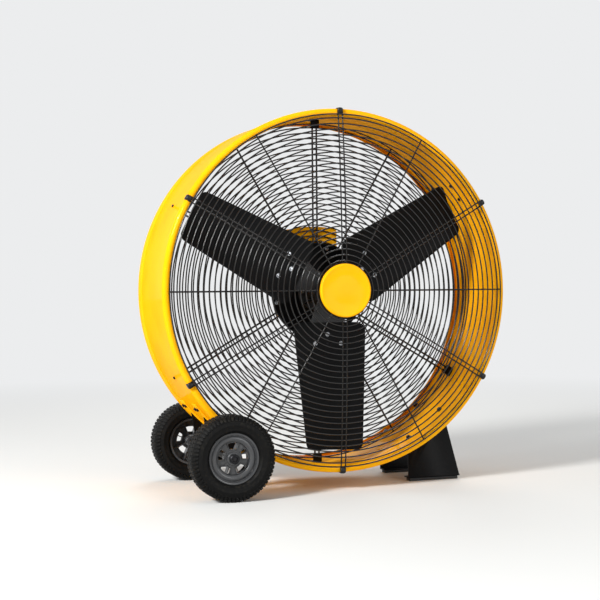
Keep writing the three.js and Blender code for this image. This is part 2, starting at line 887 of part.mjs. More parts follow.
// The V-belt round both pulleys: two arcs and the straight runs between them.
function driveBelt() {
  const lean = degrees(Math.asin((fanPulleyRadius - motorPulleyRadius) / motorOffset));
  const sections = [
    ...beltArc(fanPulleyRadius, 0, halfTurn - lean, fullTurn + lean, beltSteps),
    ...beltArc(motorPulleyRadius, motorOffset, lean, halfTurn - lean, beltSteps / 2),
  ];
  return mesh("drive_belt", loft(sections, true), rubber);
}

// A folded channel that stands off the plate and holds the motor by its face.
function motorMount() {
  const half = coverHalf - coverSheet - 2 * seatGap;
  const front = plateBack + seatGap;
  const back = mountWeb + mountSheet;
  const top = coverTop - mountHeadroom;
  const leg = outline([
    [front, mountLegBottom],
    [back, mountLegBottom],
    [back, top - mountShoulder],
    [coverFront + sink, mountLegTop],
    [front, mountLegTop],
  ]);
  const upright = (x) => plank(leg, x, x + mountSheet).rotateX(Math.PI / 2).rotateZ(Math.PI / 2);
  const web = outline(
    [
      [-half, mountLegBottom],
      [half, mountLegBottom],
      [half, top - mountCorner],
      [half - mountCorner, top],
      [mountCorner - half, top],
      [-half, top - mountCorner],
    ],
    circle(0, motorOffset, motorPulleyRadius + mountPulleyGap, smallFacets),
  );
  const flange = (x) =>
    block([x, front, mountLegBottom], [x + mountFlange, front + mountSheet, mountLegTop]);
  const folded = join(
    slab(web, mountWeb, back),
    upright(half - mountSheet),
    upright(-half),
    flange(-half),
    flange(half - mountFlange),
  );
  return mesh("motor_mount", folded, blackCoat);
}

function motorHousing() {
  const bell = motorRadius - motorBellStep;
  const bore = bored(motorShaftRadius + seatGap);
  const body = revolve([
    [bore, motorFront],
    [bell - motorBellTaper, motorFront],
    [bell, motorFront + motorBellNose],
    [bell, motorFront + motorBell],
    [motorRadius, motorFront + motorBell],
    [motorRadius, motorBack - motorBell],
    [bell, motorBack - motorBell],
    [bell, motorBack - motorBellNose],
    [bell - motorBellTaper, motorBack],
    [bore, motorBack],
  ]);
  return mesh("motor_housing", body.translate(0, 0, motorOffset), greyPlastic);
}

function motorShaft() {
  const front = pulleyFront - motorShaftOverhang;
  const bar = rod(motorShaftRadius, front, motorBack - motorShaftInset, smallFacets);
  return mesh("motor_shaft", bar.translate(0, 0, motorOffset), steel);
}

// ---------------------------------------------------------------- rear cover and its controls

// The outline of the cover seen from the back, inset all round; its top is arched.
function coverOutline(inset) {
  const half = coverHalf - inset;
  const shoulder = coverTop - coverCrown - inset;
  const crown = Array.from({ length: coverCrownSteps + 1 }, (_, i) => {
    const share = 1 - (2 * i) / coverCrownSteps;
    return [(half - coverShoulder) * share, shoulder + coverCrown * (1 - share * share)];
  });
  return outline([
    [-half, coverBottom + inset],
    [half, coverBottom + inset],
    [half, shoulder - coverShoulder],
    ...crown,
    [-half, shoulder - coverShoulder],
  ]);
}

// A folded box, open at the front below the mount's legs, with louvres and two holes at the back.
function rearCover() {
  const shell = slab(coverOutline(0), coverFront, coverBack);
  const inner = slab(coverOutline(coverSheet), coverFront + coverSheet, coverBack - coverSheet);
  const half = coverHalf - coverSheet;
  const mouth = block(
    [-half, coverFront - overcut, coverBottom + coverSheet],
    [half, coverFront + coverSheet + overcut, mountLegTop + frontWallGap],
  );
  const louvres = Array.from({ length: louvreCount }, (_, i) => {
    const z = motorOffset + (i - (louvreCount - 1) / 2) * louvrePitch;
    return block(
      [-louvreLength / 2, coverBack - coverSheet - overcut, z - louvreHeight / 2],
      [louvreLength / 2, coverBack + overcut, z + louvreHeight / 2],
    );
  });
  const hole = (x, radius) => {
    const drill = rod(radius, coverBack - coverSheet - overcut, coverBack + overcut, smallFacets);
    return drill.translate(x, 0, controlsZ);
  };
  const holes = [hole(switchX, switchStemRadius + stemGap), hole(glandX, glandBore + glandNeckWall)];
  return mesh("rear_cover", cut(shell, inner, mouth, ...louvres, ...holes), yellowCoat);
}

// The switch body inside the cover; its stem comes out through the cover's back.
function speedSwitch() {
  const back = coverBack - coverSheet - seatGap;
  const half = switchBody / 2;
  const body = block(
    [switchX - half, back - switchDepth, controlsZ - half],
    [switchX + half, back, controlsZ + half],
  );
  const stem = rod(switchStemRadius, back - sink, controlsY + switchStemProud, smallFacets);
  return mesh("speed_switch", join(body, stem.translate(switchX, 0, controlsZ)), blackPlastic);
}

// A lobed knob with a raised pointer bar, in its middle position.
function speedKnob() {
  const front = controlsY + switchStemProud + seatGap;
  const rim = spread(knobLobes * knobLobeSteps, 0).map((angle) => {
    const radius = knobRadius - knobLobeDepth * (1 - Math.cos(knobLobes * radians(angle)));
    return [radius * Math.cos(radians(angle)), radius * Math.sin(radians(angle))];
  });
  const body = slab(outline(rim), front, front + knobDepth - pointerHeight);
  const bar = block(
    [-pointerHalfWidth, front, pointerInset - knobRadius],
    [pointerHalfWidth, front + knobDepth, knobRadius - pointerInset],
  );
  return mesh("speed_knob", join(body, bar).translate(switchX, 0, controlsZ), blackPlastic);
}

// The cord's inlet: a nut with a round neck, bored through.
function cableGland() {
  const nutBack = controlsY + glandDepth;
  const neckBack = nutBack + glandNeckDepth;
  const nut = rod(glandRadius, controlsY, nutBack, glandSides);
  const neck = rod(glandBore + glandNeckWall, nutBack - sink, neckBack, smallFacets);
  const bore = rod(glandBore, controlsY - overcut, neckBack + overcut, smallFacets);
  const gland = cut(join(nut, neck), bore);
  return mesh("cable_gland", gland.translate(glandX, 0, controlsZ), blackPlastic);
}

// ---------------------------------------------------------------- wheels

// Tyre profile round the wheel's middle plane; the tread's shoulders alternate to form lugs.
function tyre(name) {
  const half = tyreWidth / 2;
  const facets = 2 * lugCount;
  const side = [
    [bored(rimRadius + seatGap, facets), rimWidth / 2 - beadInset],
    [rimRadius + sidewallFoot, half - beadInset],
    [wheelRadius - sidewallDrop, half],
    [wheelRadius - shoulderDrop, half - shoulderInset],
    [wheelRadius, half - treadInset],
  ];
  const ring = revolve([...side, ...side.map(([r, y]) => [r, -y]).reverse()], facets);
  const position = ring.attributes.position;
  for (let i = 0; i < position.count; i++) {
    const x = position.getX(i);
    const z = position.getZ(i);
    const radius = Math.hypot(x, z);
    const step = Math.round((Math.atan2(x, z) / (2 * Math.PI)) * facets);
    const onShoulder = radius > wheelRadius - (shoulderDrop + sidewallDrop) / 2;
    if (onShoulder && step % 2) {
      const shrink = (radius - lugDepth) / radius;
      position.setX(i, x * shrink);
      position.setZ(i, z * shrink);
    }
  }
  return mesh(name, ring, rubber);
}

// The moulded wheel: a rim, a web with windows towards -Y, ribs and a bored boss.
function wheelHub(name) {
  const half = rimWidth / 2;
  const inside = rimRadius - rimWall;
  const facets = 2 * wheelRibs;
  const rim = revolve(
    [
      [inside, rimChamferDepth - half],
      [inside + rimChamfer, -half],
      [rimRadius, -half],
      [rimRadius, half],
      [inside, half],
    ],
    facets,
  );
  const window = (middle) => {
    const from = middle - windowAngle / 2;
    const to = middle + windowAngle / 2;
    return [...arc(0, 0, windowOuter, from, to, 3), ...arc(0, 0, windowInner, to, from, 1)];
  };
  const webFront = webInset - half;
  const windows = spread(windowCount, firstWindowAngle).map(window);
  const web = outline(circle(0, 0, inside + sink, facets), ...windows);
  const disc = slab(web, webFront, webFront + webSheet);
  const band = sleeve(inside + sink, dishRadius, webFront - dishDepth, webFront + webSheet, facets);
  const boss = rod(wheelBoss, bossRecess - half, bushHalf, smallFacets);
  const ribFront = webFront + webSheet - sink / 2;
  const ribBack = ribFront + ribDepth;
  const rib = block(
    [wheelBoss - sink, ribFront, -ribSheet / 2],
    [inside + sink, ribBack, ribSheet / 2],
  );
  const ribs = spread(wheelRibs, halfTurn / wheelRibs).map((angle) => turned(rib.clone(), angle));
  const ringOuter = ribRingRadius + ribSheet;
  const ring = sleeve(ringOuter, ribRingRadius, ribFront, ribBack - ribRingInset, smallFacets);
  const bushSeat = bored(axleRadius + bushWall + seatGap, smallFacets);
  const bore = rod(bushSeat, -half - overcut, half + overcut, smallFacets);
  return mesh(name, cut(join(rim, disc, band, boss, ring, ...ribs), bore), greyPlastic);
}

function wheelBush(name) {
  const tube = sleeve(axleRadius + bushWall, axleRadius + seatGap, -bushHalf, bushHalf, smallFacets);
  return mesh(name, tube, steel);
}

// One wheel on the axle; `end` is -1 at the front and 1 at the back, where it is turned round.
function wheel(place, end) {
  const group = new THREE.Group();
  group.position.set(axleX, end * wheelOffset, axleZ);
  group.rotation.z = end < 0 ? 0 : Math.PI;
  group.add(tyre(`${place}_tyre`), wheelHub(`${place}_wheel_hub`), wheelBush(`${place}_wheel_bush`));
  return group;
}

function axle() {
  const bar = rod(axleRadius, -axleEnd, axleEnd, smallFacets);
  return mesh("axle", bar.translate(axleX, 0, axleZ), steel);
}

// A sleeve on the axle between two distances from the drum's middle, at either end.
function axleSleeve(name, end, radius, near, far, material) {
  const [y0, y1] = end < 0 ? [-far, -near] : [near, far];
  const tube = sleeve(radius, axleRadius + seatGap, y0, y1, smallFacets);
  return mesh(name, tube.translate(axleX, 0, axleZ), material);
}

function axleCollar(place, end) {
  const far = axleCollarFace + axleCollarDepth;
  return axleSleeve(`${place}_axle_collar`, end, axleCollarRadius, axleCollarFace, far, steel);
}

function axleSpacer(place, end) {
  const near = axleBracketOffset + axleBracketSheet / 2 + seatGap;
  const far = wheelOffset - bushHalf - 2 * seatGap;
  return axleSleeve(`${place}_axle_spacer`, end, axleRadius + spacerWall, near, far, blackCoat);
}

// ---------------------------------------------------------------- axle brackets, foot and handle

// Arc points that clear the drum's wall by the seat gap all along their chords.
function onWall(from, to, steps = arcSteps) {
  const opened = (wallOuter + seatGap) / Math.cos(radians(to - from) / steps / 2);
  return arc(0, 0, opened, from, to, steps);
}

// A curved strip that lies on the drum's wall, from one angle round the drum to another.
function saddle(from, to, y0, y1, sheet) {
  const outer = wallOuter + seatGap + sheet;
  return slab(outline([...onWall(from, to), ...arc(0, 0, outer, to, from, arcSteps)]), y0, y1);
}

// A plate from the drum down to an eye round the axle, with its saddle bolted to the wall.
function axleBracket(place, end) {
  const reach = saddleAngle / 2;
  const plateReach = reach - saddleMarginAngle;
  const plate = outline(
    [
      ...onWall(axleAngle + plateReach, axleAngle - plateReach),
      ...arc(axleX, axleBelow, axleEyeRadius, axleAngle - quarterTurn, axleAngle + quarterTurn, arcSteps),
    ],
    circle(axleX, axleBelow, bored(axleRadius + seatGap, smallFacets), smallFacets),
  );
  const y = end * axleBracketOffset;
  const upright = slab(plate, y - axleBracketSheet / 2, y + axleBracketSheet / 2);
  const half = saddleWidth / 2;
  const strip = saddle(axleAngle - reach, axleAngle + reach, y - half, y + half, saddleSheet);
  return mesh(`${place}_axle_bracket`, join(strip, upright), blackCoat);
}

// Folded sheet: a saddle under the drum, a leg at each end and a flange along the floor under each.
function footFrame() {
  const floor = footFloor - axisHeight;
  const angleAt = (x) => -degrees(Math.acos(x / (wallOuter + seatGap)));
  const from = angleAt(footInnerX);
  const to = angleAt(footTopX);
  const side = outline([[footInnerX, floor], [footOuterX, floor], ...onWall(to, from)]);
  const flange = (y) =>
    block([footInnerX, y, floor], [footOuterX, y + footFlange, floor + footSheet]);
  const pieces = [
    saddle(from, to, footFront, footBack, footSheet),
    slab(side, footFront, footFront + footSheet),
    slab(side, footBack - footSheet, footBack),
    flange(footFront),
    flange(footBack - footFlange),
  ];
  return mesh("foot_frame", join(...pieces), blackCoat);
}

function footPad(place, y) {
  const pad = block(
    [footInnerX + padInset, y + padMargin, 0],
    [footOuterX - padInset, y + footFlange - padMargin, padHeight],
  );
  return mesh(`${place}_foot_pad`, pad, rubber);
}

// The handle: a bent tube between two feet bolted to the drum, in the frame of its own angle.
function handleBar() {
  const top = handleBase + handleHeight;
  const foot = handleBase + handleFootSheet / 2;
  const at = (r, y) => new THREE.Vector3(r, y, 0);
  const low = top - handleBend;
  const near = handleFront + handleBend;
  const far = handleBack - handleBend;
  const route = new THREE.CurvePath();
  route.add(new THREE.LineCurve3(at(foot, handleFront), at(low, handleFront)));
  route.add(new THREE.QuadraticBezierCurve3(at(low, handleFront), at(top, handleFront), at(top, near)));
  route.add(new THREE.LineCurve3(at(top, near), at(top, far)));
  route.add(new THREE.QuadraticBezierCurve3(at(top, far), at(top, handleBack), at(low, handleBack)));
  route.add(new THREE.LineCurve3(at(low, handleBack), at(foot, handleBack)));
  const section = outline(circle(0, 0, handleTube, tubeFacets));
  const tube = new THREE.ExtrudeGeometry(section, { extrudePath: route, steps: tubeSteps });
  const plate = (y) =>
    block(
      [handleBase, y - handleFootWidth / 2, -handleFootLength / 2],
      [handleBase + handleFootSheet, y + handleFootWidth / 2, handleFootLength / 2],
    );
  const bar = join(tube, plate(handleFront), plate(handleBack));
  return atAngle(handleAngle, mesh("handle_bar", bar, blackCoat));
}

function handleGrip() {
  const middle = (handleFront + handleBack) / 2;
  const bore = handleTube + seatGap;
  const ends = [middle - gripLength / 2, middle + gripLength / 2];
  const grip = sleeve(bore + gripWall, bore, ...ends, smallFacets);
  return atAngle(handleAngle, mesh("handle_grip", grip.translate(handleBase + handleHeight, 0, 0), rubber));
}

// ---------------------------------------------------------------- assembly

const drumFan = new THREE.Group();
drumFan.name = "drum_fan";

const aroundAxis = new THREE.Group();
aroundAxis.position.z = axisHeight;
drumFan.add(aroundAxis);

aroundAxis.add(drumShell(), frontGuard(), frontCap(), ...pairAngles.map(frontClip));
aroundAxis.add(rearGuard(), ...pairAngles.map(rearBracket));
aroundAxis.add(mountingPlate(), bearingHousing());
aroundAxis.add(bearing("front_bearing", housingFront));
aroundAxis.add(bearing("rear_bearing", plateFront - seatGap - bearingWidth));
aroundAxis.add(...bladeAngles.map(blade), bladeHub(), fanShaft(), shaftCollar());
aroundAxis.add(fanPulley(), motorPulley(), driveBelt());
aroundAxis.add(motorMount(), motorHousing(), motorShaft());
aroundAxis.add(rearCover(), speedSwitch(), speedKnob(), cableGland());
aroundAxis.add(axleBracket("front", -1), axleBracket("rear", 1), footFrame());
aroundAxis.add(handleBar(), handleGrip());

drumFan.add(wheel("front", -1), wheel("rear", 1), axle());
drumFan.add(axleCollar("front", -1), axleCollar("rear", 1));
drumFan.add(axleSpacer("front", -1), axleSpacer("rear", 1));
drumFan.add(footPad("front", footFront), footPad("rear", footBack - footFlange));

export default drumFan;
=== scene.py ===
"""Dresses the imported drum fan: turned and folded pieces, wire guards, treads, fasteners and finishes.

Metres, +Z up, in the frame of the CAD model: X runs across the fan, Y along its axis with the air
outlet towards -Y, and the origin is on the floor under the axis.
"""

import logging
import math
from collections.abc import Iterable, Sequence
from dataclasses import dataclass, field
from enum import Enum

import bmesh
import bpy
from mathutils import Matrix, Vector

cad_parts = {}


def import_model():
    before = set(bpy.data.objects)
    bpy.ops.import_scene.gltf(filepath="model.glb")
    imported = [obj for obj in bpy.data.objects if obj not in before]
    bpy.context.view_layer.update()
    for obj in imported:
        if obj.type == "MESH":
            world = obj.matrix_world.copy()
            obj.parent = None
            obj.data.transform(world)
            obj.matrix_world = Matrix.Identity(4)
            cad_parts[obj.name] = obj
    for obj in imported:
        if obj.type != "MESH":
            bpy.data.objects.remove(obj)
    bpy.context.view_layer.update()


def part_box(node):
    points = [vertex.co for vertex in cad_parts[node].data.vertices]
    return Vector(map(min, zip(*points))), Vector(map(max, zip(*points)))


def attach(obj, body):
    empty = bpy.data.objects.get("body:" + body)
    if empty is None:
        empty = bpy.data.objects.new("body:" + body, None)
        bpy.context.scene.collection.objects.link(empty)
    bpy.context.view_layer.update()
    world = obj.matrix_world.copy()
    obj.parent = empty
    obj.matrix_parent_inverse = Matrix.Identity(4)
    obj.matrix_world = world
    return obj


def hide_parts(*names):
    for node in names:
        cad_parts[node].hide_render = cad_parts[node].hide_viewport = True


LOG = logging.getLogger("drum_fan")
MM = 0.001
FULL_TURN = 2 * math.pi
SEAT_GAP = 0.3 * MM
COAT_ROUGHNESS = 0.08
DUST_COLOUR = "#b5a88c"
DUST_SPECK_MM = 9
DUST_DETAIL = 6.0
DUST_RANGE = (0.5, 0.8)
# Dust lies thick on what faces up, and a little of it hangs on the sides.
FACING_RANGE = (-0.2, 1.0)
FACING_SHARE = (0.15, 1.0)
# The main colour covers more than half of a surface.
DRIFT_RANGE = (0.45, 0.75)
DRIFT_DETAIL = 4.0
GRAIN_DETAIL = 3.0
CREASE_MARGIN = 10.0
MERGE_GAP = 0.02 * MM
# Flats round holes and turned pieces, more of them on larger ones.
HOLE_FACETS = 36
GRIP_FACETS = 48
BOSS_FACETS = 72
DISC_FACETS = 96
TYRE_FACETS = 120
COVER_FACETS = 128

Point = tuple[float, float]
Seat = tuple[Vector, Vector]
Tree = bpy.types.NodeTree
Node = bpy.types.Node
Piece = bpy.types.Object
Value = object


class Body(Enum):
    """The rigid bodies of the CAD model."""

    FRAME = "frame"
    ROTOR = "rotor"
    MOTOR_ROTOR = "motor_rotor"
    FRONT_WHEEL = "front_wheel"
    REAR_WHEEL = "rear_wheel"
    SPEED_CONTROL = "speed_control"


class End(Enum):
    """The two ends of the axle: the sign of Y, the word in the names of the nodes there, and the wheel."""

    FRONT = (-1, "front", Body.FRONT_WHEEL)
    REAR = (1, "rear", Body.REAR_WHEEL)

    def __init__(self, sign: int, word: str, body: Body) -> None:
        """Names the parts of the value."""
        self.sign, self.word, self.body = sign, word, body


# ---------------------------------------------------------------- node trees


@dataclass(frozen=True)
class Term:
    """A number in a node tree, with which sums are written as in plain code."""

    tree: Tree
    source: Value

    def by(self, operation: str, other: Value = 0.0) -> "Term":
        """This number after one operation with another."""
        return Term(self.tree, add(self.tree, "ShaderNodeMath", {0: self, 1: other}, operation=operation))

    def __add__(self, other: Value) -> "Term":
        """The sum of both."""
        return self.by("ADD", other)

    def __sub__(self, other: Value) -> "Term":
        """The difference."""
        return self.by("SUBTRACT", other)

    def __mul__(self, other: Value) -> "Term":
        """The product."""
        return self.by("MULTIPLY", other)

    def __truediv__(self, other: Value) -> "Term":
        """The quotient."""
        return self.by("DIVIDE", other)


def feed(tree: Tree, node: Node, inputs: dict) -> None:
    """Fills or links a node's inputs.

    Args:
        tree: The tree that holds the node.
        node: The node.
        inputs: Socket name or number to a value, a term, a socket, or a node in place of its first output.
    """
    for key, value in inputs.items():
        source = value.source if isinstance(value, Term) else value
        if isinstance(source, Node):
            source = source.outputs[0]
        if isinstance(source, bpy.types.NodeSocket):
            tree.links.new(source, node.inputs[key])
        else:
            node.inputs[key].default_value = source


def add(tree: Tree, kind: str, inputs: dict | None = None, **settings: Value) -> Node:
    """Adds a node, sets its properties, and fills or links its inputs.

    Args:
        tree: The tree that gets the node.
        kind: The node's type name.
        inputs: What goes into its sockets.
        **settings: Properties of the node itself.

    Returns:
        The new node.
    """
    node = tree.nodes.new(kind)
    for name, value in settings.items():
        setattr(node, name, value)
    feed(tree, node, inputs or {})
    return node


def linear(colour: str) -> tuple[float, float, float, float]:
    """Turns an sRGB colour into what sockets take.

    Args:
        colour: The colour in hex.

    Returns:
        Its linear red, green, blue and alpha.
    """
    channels = [int(colour[i : i + 2], 16) / 255 for i in (1, 3, 5)]
    decoded = [c / 12.92 if c <= 0.04045 else ((c + 0.055) / 1.055) ** 2.4 for c in channels]
    return (*decoded, 1.0)


def noise(tree: Tree, place: Value, size_mm: float, detail: float) -> Node:
    """Noise whose features have a real size."""
    return add(tree, "ShaderNodeTexNoise", {"Vector": place, "Scale": 1 / (size_mm * MM), "Detail": detail})


def ranged(tree: Tree, value: Value, start: Point, end: Point = (0.0, 1.0)) -> Node:
    """Carries a value from the range start to the range end."""
    sockets = {"Value": value, "From Min": start[0], "From Max": start[1], "To Min": end[0], "To Max": end[1]}
    return add(tree, "ShaderNodeMapRange", sockets)


def blended(tree: Tree, share: Value, first: Value, second: Value) -> bpy.types.NodeSocket:
    """A blend of two colours."""
    sockets = {"Factor": share, "A": first, "B": second}
    return add(tree, "ShaderNodeMix", sockets, data_type="RGBA").outputs["Result"]


# ---------------------------------------------------------------- finishes


@dataclass(frozen=True)
class Finish:
    """A surface: its colour with a slow drift of tone, its gloss, its fine grain and the dust on it.

    Attributes:
        name: What the real material is and how its surface was made.
        slot: The record's material slot; not used.
        colour: The main colour.
        drift: The colour that it drifts towards in patches.
        roughness: The middle roughness.
        spread: How far the roughness drifts either way.
        metallic: 1 for bare metal.
        coat: Weight of a clear glossy layer on top.
        specular: Share of the mirror reflection; below 0.5 the colour stays deep at a grazing angle.
        drift_mm: Size of the patches.
        grain_mm: Size of the grain.
        grain_depth_mm: Height of the grain.
        dust: How much pale dust lies on surfaces that face up.
        stretch: How much longer the grain is along each axis.
    """

    name: str
    slot: str
    colour: str
    drift: str
    roughness: float
    spread: float = 0.06
    metallic: float = 0.0
    coat: float = 0.0
    specular: float = 0.5
    drift_mm: float = 140.0
    grain_mm: float = 1.5
    grain_depth_mm: float = 0.05
    dust: float = 0.0
    stretch: tuple[float, float, float] = (1.0, 1.0, 1.0)

    def material(self) -> bpy.types.Material:
        """Returns the material, built the first time that it is asked for."""
        return bpy.data.materials.get(self.name) or self.build()

    def build(self) -> bpy.types.Material:
        """Builds the material's nodes.

        Returns:
            The new material.
        """
        made = bpy.data.materials.new(self.name)
        made.use_nodes = True
        tree = made.node_tree
        place = add(tree, "ShaderNodeTexCoord").outputs["Object"]
        squeeze = tuple(1 / s for s in self.stretch)
        along = add(tree, "ShaderNodeMapping", {"Vector": place, "Scale": squeeze})
        patches = noise(tree, place, self.drift_mm, DRIFT_DETAIL)
        grain = noise(tree, along, self.grain_mm, GRAIN_DETAIL)
        drifted = ranged(tree, patches, DRIFT_RANGE)
        tone = blended(tree, drifted, linear(self.colour), linear(self.drift))
        gloss = (self.roughness - self.spread, self.roughness + self.spread)
        depth = self.grain_depth_mm * MM
        surface = {
            "Base Color": self.dusted(tree, tone, place),
            "Roughness": ranged(tree, patches, (0.0, 1.0), gloss),
            "Normal": add(tree, "ShaderNodeBump", {"Height": grain, "Distance": depth, "Strength": 1.0}),
            "Metallic": self.metallic,
            "Specular IOR Level": self.specular,
            "Coat Weight": self.coat,
            "Coat Roughness": COAT_ROUGHNESS,
        }
        feed(tree, tree.nodes["Principled BSDF"], surface)
        return made

    def dusted(self, tree: Tree, tone: Value, place: Value) -> Value:
        """Lays pale dust, in specks of a few millimetres, where the surface faces up.

        Args:
            tree: The material's tree.
            tone: The clean colour.
            place: The object's coordinates.

        Returns:
            The colour with dust, or the clean colour where the finish has none.
        """
        if not self.dust:
            return tone
        normal = add(tree, "ShaderNodeNewGeometry").outputs["Normal"]
        upward = add(tree, "ShaderNodeSeparateXYZ", {"Vector": normal}).outputs["Z"]
        facing = Term(tree, ranged(tree, upward, FACING_RANGE, FACING_SHARE))
        specks = ranged(tree, noise(tree, place, DUST_SPECK_MM, DUST_DETAIL), DUST_RANGE)
        return blended(tree, facing * specks * self.dust, tone, linear(DUST_COLOUR))


# Powder coat baked on steel: a deep, even, sunny yellow with a soft gloss and a faint orange peel.
YELLOW_COAT = Finish(
    "powder_coat_yellow", "yellow_coat", "#ffb40d", "#fcaa09", 0.36,
    coat=0.12, specular=0.0, grain_mm=3.0, grain_depth_mm=0.03,
)
# The same process in black on the blades and brackets: darker and duller, with a little dust.
BLACK_COAT = Finish(
    "powder_coat_black", "black_coat", "#080809", "#0e0e0f", 0.42,
    specular=0.1, grain_mm=2.5, grain_depth_mm=0.04, dust=0.02,
)
# Drawn steel wire dipped in black enamel: it glints along each ring.
WIRE_COAT = Finish(
    "enamelled_wire_black", "black_wire", "#070707", "#0d0d0e", 0.22,
    coat=0.12, specular=0.3, grain_mm=2.0, grain_depth_mm=0.02,
)
# Glass-filled nylon, moulded in mid grey with a spark-eroded texture: it shows the dish of the wheel.
WHEEL_NYLON = Finish(
    "moulded_nylon_grey", "grey_plastic", "#353638", "#414244", 0.26,
    coat=0.15, grain_mm=1.2, grain_depth_mm=0.04, dust=0.05,
)
# ABS for the clips, the switch and the knob: black with a soft sheen.
BLACK_ABS = Finish(
    "moulded_abs_black", "black_plastic", "#0c0c0d", "#141415", 0.36,
    specular=0.3, grain_mm=1.0, grain_depth_mm=0.04,
)
# Vulcanised tyre rubber: matt and near black, with traces of road dust.
TYRE_RUBBER = Finish(
    "tyre_rubber", "tyre", "#080808", "#0f0f0e", 0.6,
    specular=0.12, drift_mm=60.0, grain_mm=1.6, grain_depth_mm=0.1, dust=0.06,
)
# Belt, pads and grip: finer rubber, duller and a little dusty.
SOFT_RUBBER = Finish(
    "moulded_rubber", "rubber", "#131314", "#1d1c1b", 0.66, grain_mm=1.0, grain_depth_mm=0.06, dust=0.1
)
# Zinc-plated screws and washers: cool, bright and slightly blotched.
ZINC = Finish(
    "zinc_plate", "bearing_steel", "#c8cbcf", "#a9adb3", 0.28,
    metallic=1.0, drift_mm=8.0, grain_mm=0.8, grain_depth_mm=0.02,
)
# Steel blackened in a hot salt bath: dark, with a dull metal gleam, on the screws of the band and the axle.
BLACK_OXIDE = Finish(
    "black_oxide_steel", "bearing_steel", "#2a2a2c", "#38383a", 0.42,
    metallic=1.0, drift_mm=8.0, grain_mm=0.8, grain_depth_mm=0.02,
)
# Ground bar: the grain runs round it, drawn coarser than the real one so that it shows.
GROUND_STEEL = Finish(
    "ground_steel", "bearing_steel", "#b4b6b8", "#9c9ea1", 0.3,
    metallic=1.0, grain_mm=0.8, grain_depth_mm=0.03, stretch=(9.0, 1.0, 9.0),
)
# Sand-cast iron, painted thinly: a coarse skin.
CAST_IRON = Finish(
    "cast_iron_painted", "cast_iron", "#1c1c1e", "#2a2a2b", 0.55, grain_mm=2.2, grain_depth_mm=0.18, dust=0.08
)
# Motor enamel: a satin grey over the pressed shell.
MOTOR_PAINT = Finish(
    "motor_enamel_grey", "motor_paint", "#3a3d40", "#44474a", 0.42,
    grain_mm=2.0, grain_depth_mm=0.04, dust=0.1,
)


# ---------------------------------------------------------------- shapes


@dataclass
class Shape:
    """Corners and faces that become part of a mesh."""

    corners: list[Vector] = field(default_factory=list)
    faces: list[tuple[int, ...]] = field(default_factory=list)

    def __add__(self, other: "Shape") -> "Shape":
        """Both shapes in one."""
        shifted = [tuple(i + len(self.corners) for i in face) for face in other.faces]
        return Shape(self.corners + other.corners, self.faces + shifted)

    def moved(self, place: Matrix) -> "Shape":
        """The same shape carried to another place."""
        return Shape([place @ corner for corner in self.corners], list(self.faces))

    def mesh(self, name: str, merge: float = 0.01 * MM, crease: float = 32.0) -> bpy.types.Mesh:
        """Makes a closed, outward-facing mesh.

        Args:
            name: The mesh's name.
            merge: Corners closer than this become one.
            crease: Edges sharper than this many degrees stay sharp.

        Returns:
            The mesh.
        """
        mesh = bpy.data.meshes.new(name)
        mesh.from_pydata(self.corners, [], self.faces)
        work = bmesh.new()
        work.from_mesh(mesh)
        bmesh.ops.remove_doubles(work, verts=work.verts, dist=merge)
        bmesh.ops.dissolve_degenerate(work, edges=work.edges, dist=merge)
        bmesh.ops.recalc_face_normals(work, faces=work.faces)
        work.to_mesh(mesh)
        work.free()
        mesh.shade_smooth()
        mesh.set_sharp_from_angle(angle=math.radians(crease))
        return mesh


def polar(radius: float, degrees: float) -> Point:
    """A point at an angle round the origin."""
    return radius * math.cos(math.radians(degrees)), radius * math.sin(math.radians(degrees))


def arc(centre: Point, radius: float, start: float, end: float, steps: int) -> list[Point]:
    """Points along an arc between two angles in degrees, in so many stretches, both ends included."""
    points = [polar(radius, start + (end - start) * i / steps) for i in range(steps + 1)]
    return [(centre[0] + x, centre[1] + y) for x, y in points]


def circle(centre: Point, radius: float, count: int) -> list[Point]:
    """So many points round a circle."""
    return arc(centre, radius, 0, 360 - 360 / count, count - 1)


def near(r: float, y: float, *steps: Point) -> list[Point]:
    """Corners of a profile at steps, in millimetres, from a point."""
    return [(r + dr * MM, y + dy * MM) for dr, dy in steps]


def joined_ring(sections: Sequence[Sequence[Vector]], closed: bool) -> Shape:
    """The skin through closed sections with the same number of corners.

    Args:
        sections: The sections in order.
        closed: Whether the last section is joined to the first.

    Returns:
        The skin, open at both ends unless it is closed.
    """
    count = len(sections[0])
    faces = []
    for s in range(len(sections) - (not closed)):
        here, there = s * count, (s + 1) % len(sections) * count
        for i in range(count):
            j = (i + 1) % count
            faces.append((here + i, here + j, there + j, there + i))
    return Shape([corner for section in sections for corner in section], faces)


def turned(profile: Sequence[Point], facets: int = DISC_FACETS) -> Shape:
    """A closed profile of (radius, y), turned round the Y axis in so many facets."""
    turns = [polar(1, 360 * i / facets) for i in range(facets)]
    return joined_ring([[Vector((r * x, y, r * z)) for r, y in profile] for x, z in turns], closed=True)


def lofted(sections: Sequence[Sequence[Vector]]) -> Shape:
    """Closes the skin through sections at both ends.

    Args:
        sections: The closed sections in order.

    Returns:
        The solid.
    """
    shape = joined_ring(sections, closed=False)
    count = len(sections[0])
    last = len(shape.corners) - count
    shape.faces += [tuple(range(count)), tuple(last + i for i in reversed(range(count)))]
    return shape


def tube(outer: float, inner: float, y0: float, y1: float, edge: float = 0.6 * MM, facets: int = 64) -> Shape:
    """A tube along Y from y0 to y1, or a bar where inner is 0, with chamfers at its outer edges."""
    outside = [(outer - edge, y0), (outer, y0 + edge), (outer, y1 - edge), (outer - edge, y1)]
    return turned([(inner, y0), *outside, (inner, y1)], facets)


